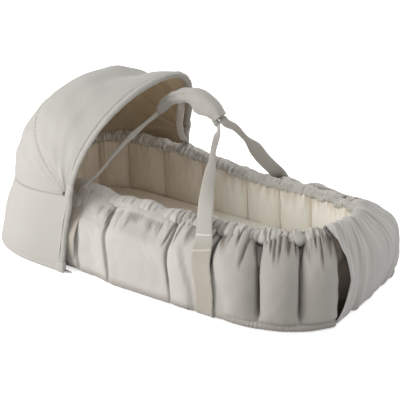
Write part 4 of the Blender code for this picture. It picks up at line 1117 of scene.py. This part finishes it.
def pad_outline(x, low):
    """The pad's section, over the top and the far side, down to a low edge. It is pinched at both ends."""
    end = 1 - 0.30 * (ramp(-x, 0.062, 0.0735) + ramp(x, 0.044, 0.057)) - 0.10 * bell(x, -0.006, 0.007)
    outline = np.array(((-OUT_Y, IN_TOP), (-OUT_Y + 0.0006, OUT_TOP - 0.003), (-OUT_Y + 0.005, OUT_TOP),
                        (0.0, OUT_TOP + 0.0010), (OUT_Y - 0.004, OUT_TOP - 0.0004),
                        (OUT_Y + 0.0002, OUT_TOP - 0.006), (OUT_Y + 0.0010, 0.0),
                        (OUT_Y + 0.0006, low + 0.005), (OUT_Y - 0.003, low), (IN_Y, low + 0.004),
                        (IN_Y, 0.0), (IN_Y - 0.001, IN_TOP - 0.001), (0.0, IN_TOP), (-IN_Y, IN_TOP)))
    outer = (np.abs(outline[:, 0]) > IN_Y + 0.001) | (outline[:, 1] > IN_TOP + 0.001)
    outline[outer & (outline[:, 1] > -0.001)] *= 0.5 + 0.5 * end
    return outline


def flap_outline(x, low):
    """The flap's section, from the top down the near side. It bows out over its leaf."""
    bow = 0.0034 * ramp(x, -0.02, 0.02) * (1 - ramp(x, 0.040, 0.057))
    return np.array(((-IN_Y, IN_TOP - 0.0012), (-OUT_Y + 0.0006, IN_TOP + 0.0006), (-OUT_Y - 0.0012, 0.0040),
                     (-OUT_Y - 0.0018 - 0.5 * bow, low * 0.4), (-OUT_Y - 0.0004 - bow, low + 0.005),
                     (-OUT_Y + 0.0018 - bow, low - 0.0006), (-IN_Y - 0.0015 - bow, low + 0.0012),
                     (-IN_Y - 0.3 * bow, low + 0.007), (-IN_Y, 0.0)))


def grip():
    """The padded wrap round the webbing: a pad on the far side and a flap on the near side."""
    wrinkle = field(71, (0.024, 0.050))
    squeeze = field(72, (0.014, 0.060))
    pad = []
    flap = []
    for x in -0.0735 + 0.1305 * np.linspace(0, 1, 130):
        hang = 0.0120 + 0.0140 * (ramp(x, -0.010, 0.010) - ramp(x, 0.028, 0.054))
        low = -hang * (1 - 0.48 * ramp(-x, 0.004, 0.055))
        left = 1 - ramp(x, -0.024, 0.002)
        curve, normal = closed_curve(pad_outline(x, low), 56)
        rough = wrinkle(x + 0.25 * curve[:, 0], 2 * curve[:, 1] + 0.4 * x)
        rough = rough + 0.5 * left * squeeze(x + 0.5 * curve[:, 1], curve[:, 0])
        face = (np.abs(curve[:, 0]) > IN_Y + 0.002) | (curve[:, 1] > IN_TOP + 0.002)
        curve = curve + normal * (face * rough * (0.0003 + 0.0001 * left))[:, None]
        pad.append(grip_points(x, curve[:, 0], curve[:, 1]))
        curve, normal = closed_curve(flap_outline(x, low), 44)
        rough = wrinkle(x + 0.30 * curve[:, 0] + 5, 2 * curve[:, 1] + 0.5 * x)
        rough = rough + 0.5 * left * squeeze(x - 0.6 * curve[:, 1], curve[:, 0] + 3)
        face = curve[:, 0] < -IN_Y - 0.002
        curve = curve + normal * (face * rough * (0.0003 + 0.0002 * left))[:, None]
        flap.append(grip_points(x, curve[:, 0], curve[:, 1]))
    for part, grid, body in (("pad", pad, "handle"), ("flap", flap, "handle_wrap")):
        obj = loft(f"grip_{part}_wrap", np.array(grid), [GRIP])
        dress(obj, body, "shell", f"grip_{part}")


# Hood

# How thick the hood's cloth is
CLOTH = 0.0016
# The hood's radius from the pivots at each angle from upright, in degrees, smoothed
ANGLES = np.arange(-110.0, 30.0, 1.0)
RADII = np.interp(ANGLES, (-98, -50, -14, 4, 17), (0.2195, 0.1960, 0.1840, 0.1815, 0.1880))
KERNEL = bell(np.arange(-14, 15), 0, 6.0)
RADII = np.convolve(np.pad(RADII, 14, mode="edge"), KERNEL / KERNEL.sum(), mode="valid")


def arch(t, angle):
    """Across and up, each up to 1, along a rib. The ribs are squarer towards the back."""
    back = (4 - angle) / 102
    corner = 2 / (2.18 + 0.42 * back)
    return -signed(np.cos(t), corner), np.sin(t).clip(0, 1) ** corner


def rib(angle, t, inward):
    """Points along the hood's rib at an angle from upright."""
    across, height = arch(t, angle)
    a = np.radians(angle)
    h = (np.interp(angle, ANGLES, RADII) - inward) * height
    x = PIVOT[0] + h * np.sin(a)
    z = PIVOT[2] + h * np.cos(a)
    y = (HOOD_HALF - inward) * across
    return np.stack(np.broadcast_arrays(x, y, z), -1)


def bow_x(z):
    """Where the front bow's plane is along the tub at a height."""
    return -0.1657 + 0.0772 * (np.asarray(z) / 0.333).clip(0, 2) ** 2.3


def front_rib(t, inward, shift=0.0):
    """Points along the hood's front edge, in the plane of the front bow."""
    across, height = arch(t, 4.0)
    z = PIVOT[2] + (0.3372 - inward - PIVOT[2]) * height
    return np.stack([bow_x(z) + shift, (HOOD_HALF - inward) * across, z], -1)


def arch_steps(count, free):
    """Steps along a rib, which start at a free height above the pivot on each side."""
    start = math.asin((free / 0.196) ** 1.09)
    return np.linspace(start, math.pi - start, count)


def hood_panel(name, faces, lift, at, facing, line, solid, body=None):
    """A panel of two faces that is lifted outwards. At one point its outside faces a known way."""
    face, back = faces
    normal = normals_of(face)
    outwards = np.sign(normal[at] @ np.array(facing))
    move = lift[..., None] * normal * outwards
    obj = shell(name, face + move, back + move, [HOOD, HOOD_INSIDE])
    # The line given is painted shade along the panel's seams.
    line = (line * np.ones(face.shape[:2])).ravel()
    attribute(obj, "painted_shade", np.concatenate([line, line]))
    dress(obj, body, "hood", solid)
    return obj


def turn_ends(degrees, reach):
    """Two points on either side of the pivots, square to the rib at an angle."""
    way = np.array((math.cos(math.radians(degrees)), 0, -math.sin(math.radians(degrees))))
    return tuple(PIVOT - way * reach), tuple(PIVOT + way * reach)


def hood_front():
    """The front gore, between the front bow and the rear bow."""
    t = arch_steps(280, 0.006)
    rows = 90
    v = np.linspace(0, 1, rows)[:, None]
    faces = []
    for inward in (0.0, CLOTH):
        first = front_rib(t, inward, -0.0012)
        start = np.degrees(np.arctan2(first[:, 0] - PIVOT[0], first[:, 2] - PIVOT[2]))
        grid = rib(start + v * (-50 - start), t[None, :], inward)
        faces.append(grid + (first[None] - grid[:1]) * (1 - ramp(v, 0.0, 0.30))[..., None])
    crown = np.sin(t)[None, :]
    dip = -0.0215 * bell(v, 0.37, 0.17) * bell(t, 1.95, 0.55)[None, :]
    dip = dip + 0.0034 * crown ** 3 * (1 - ramp(v, 0.0, 0.09)) - 0.0036 * (1 - ramp(v, 0.0, 0.05))
    seam = -0.0012 * bell(v, 1.0, 0.035)
    drag = 0.0009 * field(81, (0.10, 0.30))(t[None, :] * 0.2, v) * np.sin(math.pi * v)
    pucker = 0.00035 * np.sin(t[None, :] * 95 + 3 * np.sin(t[None, :] * 7)) * bell(v, 1, 0.08)
    obj = hood_panel("hood_front_panel", faces, dip + seam + drag + pucker, (rows // 2, 140), (0, 0, 1),
                     0.55 * bell(v, 1, 0.012), "hood_front_gore")
    start, end = turn_ends(-24, 0.085)
    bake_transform(obj)


def hood_back():
    """The rear gore, between the rear bow and the skirt."""
    t = arch_steps(280, 0.006)
    v = np.linspace(0, 1, 60)[:, None]
    faces = [rib(-50 - 48 * v, t[None, :], inward) for inward in (0.0, CLOTH)]
    seam = -0.0012 * (bell(v, 0, 0.04) + bell(v, 1, 0.04))
    drag = 0.0009 * field(83, (0.09, 0.35))(t[None, :] * 0.2, v) * np.sin(math.pi * v)
    both_ends = bell(v, 0, 0.09) + bell(v, 1, 0.09)
    pucker = 0.00035 * np.sin(t[None, :] * 88 + 2 * np.sin(t[None, :] * 9)) * both_ends
    obj = hood_panel("hood_rear_panel", faces, seam + drag + pucker, (4, 140), (0, 0, 1),
                     0.55 * (bell(v, 0, 0.015) + bell(v, 1, 0.015)), "hood_rear_gore")
    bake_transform(obj)


# The skirt's outline at the floor: where it starts along the tub, and its roundness
SKIRT_FRONT = -0.1695
SKIRT_CURVE = 2 / 2.9


def hood_skirt():
    """The skirt, from the rear gore's seam to the floor."""
    t = arch_steps(200, 0.006)
    turn = np.linspace(0.0, math.pi, 200)
    rows = 40
    v = np.linspace(0, 1, rows)[:, None]
    faces = []
    for inward in (0.0, CLOTH):
        high = rib(-98.0, t, inward)
        reach = HOOD_BACK + SKIRT_FRONT - inward
        x = SKIRT_FRONT - reach * np.abs(np.sin(turn)) ** SKIRT_CURVE
        y = -(HOOD_FLOOR_HALF - inward) * signed(np.cos(turn), SKIRT_CURVE)
        low = np.stack([x, y, np.full(200, 0.0015)], -1)
        grid = high[None] + v[..., None] * (low - high)[None]
        bulge = 0.0030 * np.sin(math.pi * v)
        grid[..., 0] -= bulge * np.sin(t)
        grid[..., 1] -= bulge * np.cos(t)
        edge = bell(np.minimum(turn, math.pi - turn), 0, 0.11)[None, :]
        sewn = stay_point(1.0, grid[..., 2])[..., 0] - 0.0012
        grid[..., 0] += edge * ramp(v, 0.0, 0.06) * (np.maximum(sewn, grid[..., 0]) - grid[..., 0])
        faces.append(grid)
    seam = -0.0012 * bell(v, 0, 0.05)
    hem = 0.0006 * bell(v, 0.93, 0.012)
    drag = 0.0010 * field(85, (0.10, 0.5))(turn[None, :] * 0.2, v) * np.sin(math.pi * v)
    pucker = 0.0003 * np.sin(t[None, :] * 90) * bell(v, 0, 0.09)
    # Painted shade at the seam and along the hem.
    line = 0.55 * bell(v, 0, 0.014) + 0.35 * bell(v, 0.93, 0.010)
    obj = hood_panel("hood_skirt_panel", faces, seam - hem + drag + pucker, (rows // 2, 100), (-1, 0, 0),
                     line, "hood_skirt", body="tub")


def hood_lip():
    """The padded tunnel along the hood's front edge."""
    t = arch_steps(260, 0.016)
    path = front_rib(t, 0.0042)
    along = unit(np.gradient(path, axis=0))
    out = path - (0, 0, PIVOT[2])
    out[:, 0] = 0
    out = unit(out - (out * along).sum(-1, keepdims=True) * along)
    forward = np.cross(along, out)
    if forward[130, 0] < 0:
        forward = -forward
    a = np.linspace(0, 2 * math.pi, 32, endpoint=False)[None, :]
    T = t[:, None]
    crown = np.sin(T)
    wide = 0.0070 + 0.0022 * crown ** 3
    deep = 0.0042 + 0.0022 * crown ** 3
    ripple = 1 + 0.05 * np.sin(T * 33 + np.sin(T * 5)) + 0.03 * np.sin(T * 71 + a)
    groove = round_bell(a, 2.2, 0.16)
    piping = round_bell(a, -1.15, 0.20)
    inner_groove = round_bell(a, -0.65, 0.16)
    grow = -0.0007 * groove + (0.0014 * piping - 0.0016 * inner_groove) * crown ** 2
    tilt = math.radians(20) * crown
    du = (wide * ripple + grow) * np.cos(a)
    dv = (deep * ripple + grow) * np.sin(a)
    ahead = (du * np.cos(tilt))[..., None]
    raised = (dv + du * np.sin(tilt) + 0.0030 * crown ** 3)[..., None]
    grid = path[:, None] + forward[:, None] * ahead + out[:, None] * raised
    obj = loft("hood_front_edge", grid, [HOOD])
    # Painted shade in the grooves beside the piping.
    attribute(obj, "painted_shade", (0.25 * groove + 0.8 * inner_groove) * np.ones_like(T))
    dress(obj, "hood_front", "hood", "hood_front_casing")


# The side stay: height of its top, and its distance from the middle at the floor and at the top
STAY_TOP = 0.137
STAY_LOW_Y, STAY_TOP_Y = 0.2083, 0.1952


def stay_point(side, z):
    """The middle line of the stay up one side, at heights."""
    z = np.asarray(z, float)
    share = (z / STAY_TOP).clip(0, 1)
    y = STAY_LOW_Y + share ** 1.5 * (STAY_TOP_Y - STAY_LOW_Y)
    x = np.where(z < STAY_TOP, bow_x(z) + share * (PIVOT[0] - bow_x(STAY_TOP)), PIVOT[0])
    return np.stack([x, side * y, z], -1)


def side_tube(name, path, x, y, z, line, solid):
    """A tube up the side of the hood: sections x by y round a middle line."""
    grid = np.stack(np.broadcast_arrays(path[:, None, 0] + x, path[:, None, 1] + y, z), -1)
    obj = loft(name, grid, [HOOD])
    # The line given is painted shade along the tube's groove.
    attribute(obj, "painted_shade", line * np.ones(grid.shape[:2]))
    dress(obj, "tub", "hood", solid)


def sleeve(name, side, a):
    """The sleeve over the side stay."""
    z = np.linspace(0.012, 0.180, 90)
    path = stay_point(side, z)
    path[:, 0] += 0.006 * ramp(z, 0.150, 0.180)
    path[:, 1] -= side * 0.0006
    Z = z[:, None]
    wide = 0.0078 * (1 - 0.35 * ramp(Z, 0.160, 0.180) ** 2)
    deep = 0.0048 * (1 - 0.45 * ramp(Z, 0.158, 0.180) ** 2)
    groove = round_bell(a, math.pi / 2 + 0.35, 0.12)
    wave = 0.0005 * np.sin(Z * 160 + 2 * np.sin(Z * 60))
    x = wide * signed(np.cos(a), 0.8) + wave
    y = side * (deep * signed(np.sin(a), 0.8) - 0.0005 * groove)
    side_tube(f"hood_side_sleeve_{name}", path, x, y, Z, 0.3 * groove, f"hood_sleeve_{name}")


def pocket(name, side, a):
    """The pocket at the floor that takes the stay's end."""
    high = 0.0215
    z = np.linspace(0.0, high, 16)
    Z = z[:, None]
    grow = 1 + 0.10 * np.sin(math.pi * Z / high)
    x = 0.0082 * grow * signed(np.cos(a), 0.55)
    y = side * 0.0050 * grow * signed(np.sin(a), 0.55)
    side_tube(f"hood_foot_pocket_{name}", stay_point(side, z), x, y, Z + 0.0002, 0.0, f"hood_pocket_{name}")


def pull_tab(name, side):
    """A short loop of tape sewn flat in a small triangle."""
    foot = stay_point(side, 0.0)
    tip = np.array((foot[0] + 0.0215, foot[1] - side * 0.0035, 0.0016))
    ends = [np.array((foot[0] + 0.0070, foot[1] + side * 0.0030, 0.0030)),
            np.array((foot[0] + 0.0070, foot[1] - side * 0.0042, 0.0030))]
    beside = (tip + (-0.006, side * 0.0014, 0.0002), tip + (-0.006, -side * 0.0016, 0.0002))
    path = smooth_path([ends[0], beside[0], tip, beside[1], ends[1]], 40)
    across = np.tile((0.0, 0.0, 1.0), (40, 1))
    obj = band(f"hood_pull_loop_{name}", path, across, 0.0030, 0.0012, HOOD, f"hood_pull_tab_{name}",
               around=16, slot="hood")
    attribute(obj, "painted_shade", np.zeros(len(obj.data.vertices)))


def hood_sides():
    """The sleeve, foot pocket and pull tab on each side."""
    a = np.linspace(0, 2 * math.pi, 28, endpoint=False)[None, :]
    for name, side in (("near", -1.0), ("far", 1.0)):
        sleeve(name, side, a)
        pocket(name, side, a)
        pull_tab(name, side)


outer_wall()
lining()
rim()
elastic()
mattress()
base()
foot_cover()
straps()
grip()
hood_front()
hood_back()
hood_skirt()
hood_lip()
hood_sides()


# Camera, light and floor

def aim(obj, target):
    """Turns a camera or a light to look at a point."""
    direction = Vector(target) - obj.location
    obj.rotation_euler = direction.to_track_quat("-Z", "Y").to_euler()


def area_light(name, place_at, target, size, power, colour=(1, 1, 1)):
    data = bpy.data.lights.new(name, "AREA")
    data.shape = "RECTANGLE"
    data.size, data.size_y = size
    data.energy = power
    data.color = colour
    obj = bpy.data.objects.new(name, data)
    obj.location = place_at
    bpy.context.scene.collection.objects.link(obj)
    aim(obj, target)


# The camera was fitted to the photo: angles in degrees, metres, and a focal length in the photo's pixels
AZIMUTH, ELEVATION, DISTANCE = math.radians(33.5), math.radians(24.5), 2.564
AIM_AT = Vector((0.0577, -0.0697, 0.152))
FOCAL_PX, PHOTO_PX, SENSOR_MM = 1390, 400, 36


def photo_camera():
    """The camera that the photo was taken with, as fitted."""
    back = Vector((math.sin(AZIMUTH) * math.cos(ELEVATION), -math.cos(AZIMUTH) * math.cos(ELEVATION),
                   math.sin(ELEVATION)))
    data = bpy.data.cameras.new("camera")
    data.sensor_width = SENSOR_MM
    data.sensor_fit = "HORIZONTAL"
    data.lens = FOCAL_PX / PHOTO_PX * SENSOR_MM
    camera = bpy.data.objects.new("camera", data)
    camera.location = AIM_AT + back * DISTANCE
    bpy.context.scene.collection.objects.link(camera)
    aim(camera, AIM_AT)
    bpy.context.scene.camera = camera


def white_floor():
    """A white floor that takes soft shadows and glows a little in the camera's eyes, as in the photo."""
    floor_mesh = bmesh.new()
    bmesh.ops.create_grid(floor_mesh, x_segments=2, y_segments=2, size=6.0)
    mesh = bpy.data.meshes.new("floor")
    floor_mesh.to_mesh(mesh)
    floor_mesh.free()
    floor = bpy.data.objects.new("floor", mesh)
    floor.location = (0, 0, -0.0006)
    bpy.context.scene.collection.objects.link(floor)
    mat = bpy.data.materials.new("floor_white")
    mat.use_nodes = True
    tree = mat.node_tree
    link = tree.links.new
    tree.nodes.clear()
    output = tree.nodes.new("ShaderNodeOutputMaterial")
    plain = node(tree, "ShaderNodeBsdfDiffuse", Color=(0.86, 0.86, 0.855, 1))
    glow = node(tree, "ShaderNodeEmission", Color=(1, 1, 1, 1), Strength=0.68)
    both = tree.nodes.new("ShaderNodeAddShader")
    pick = tree.nodes.new("ShaderNodeMixShader")
    path = tree.nodes.new("ShaderNodeLightPath")
    link(plain.outputs[0], both.inputs[0])
    link(glow.outputs[0], both.inputs[1])
    link(path.outputs["Is Camera Ray"], pick.inputs[0])
    link(plain.outputs[0], pick.inputs[1])
    link(both.outputs[0], pick.inputs[2])
    link(pick.outputs[0], output.inputs[0])
    mesh.materials.append(mat)


def studio_world():
    """Soft light from all round, and plain white where the camera looks past the floor."""
    world = bpy.data.worlds.new("studio")
    bpy.context.scene.world = world
    world.use_nodes = True
    tree = world.node_tree
    link = tree.links.new
    tree.nodes.clear()
    output = tree.nodes.new("ShaderNodeOutputWorld")
    soft = node(tree, "ShaderNodeBackground", Color=(0.95, 0.97, 1.0, 1), Strength=0.325)
    white = node(tree, "ShaderNodeBackground", Color=(1, 1, 1, 1), Strength=1.0)
    pick = tree.nodes.new("ShaderNodeMixShader")
    rays = tree.nodes.new("ShaderNodeLightPath").outputs
    straight = combine(tree, "MAXIMUM", rays["Is Camera Ray"], rays["Is Glossy Ray"])
    link(combine(tree, "MAXIMUM", straight, rays["Is Transmission Ray"]), pick.inputs[0])
    link(soft.outputs[0], pick.inputs[1])
    link(white.outputs[0], pick.inputs[2])
    link(pick.outputs[0], output.inputs[0])


# The staging, with a slightly warm white for the lights in front
WARM = (1.0, 0.995, 0.985)
photo_camera()
white_floor()
studio_world()
area_light("key", (-1.54, -1.76, 0.88), (0, 0, 0.15), (1.3, 1.1), 50, WARM)
area_light("top", (0.55, -0.75, 2.0), (0.2, 0.1, 0.1), (1.2, 1.0), 7, WARM)
area_light("fill", (2.2, 0.3, 1.3), (0.2, 0, 0.1), (1.6, 1.0), 9)
area_light("back", (0.3, 1.7, 1.6), (0, 0, 0.1), (1.8, 1.0), 19)
bpy.context.scene.view_settings.view_transform = "Standard"

# Materials of the solids that no piece replaces
for name, found in NODES.items():
    if found.hide_render:
        continue
    if name.startswith(("hood_rivet", "grip_snap")):
        chosen = METAL
    # The bows, inside the hood, take the hood's inside colour with its painted shade and bounce light.
    elif name.endswith("_bow"):
        chosen = HOOD_INSIDE
    elif name.startswith("hood_stay"):
        chosen = PLASTIC
    elif name == "base_board":
        chosen = BOARD
    elif "strap" in name:
        chosen = WEB
    elif name in ("mattress", "rim_elastic"):
        chosen = LINING
    elif name.startswith("hood"):
        chosen = HOOD
    else:
        chosen = SHELL
    found.data.materials.clear()
    found.data.materials.append(chosen)
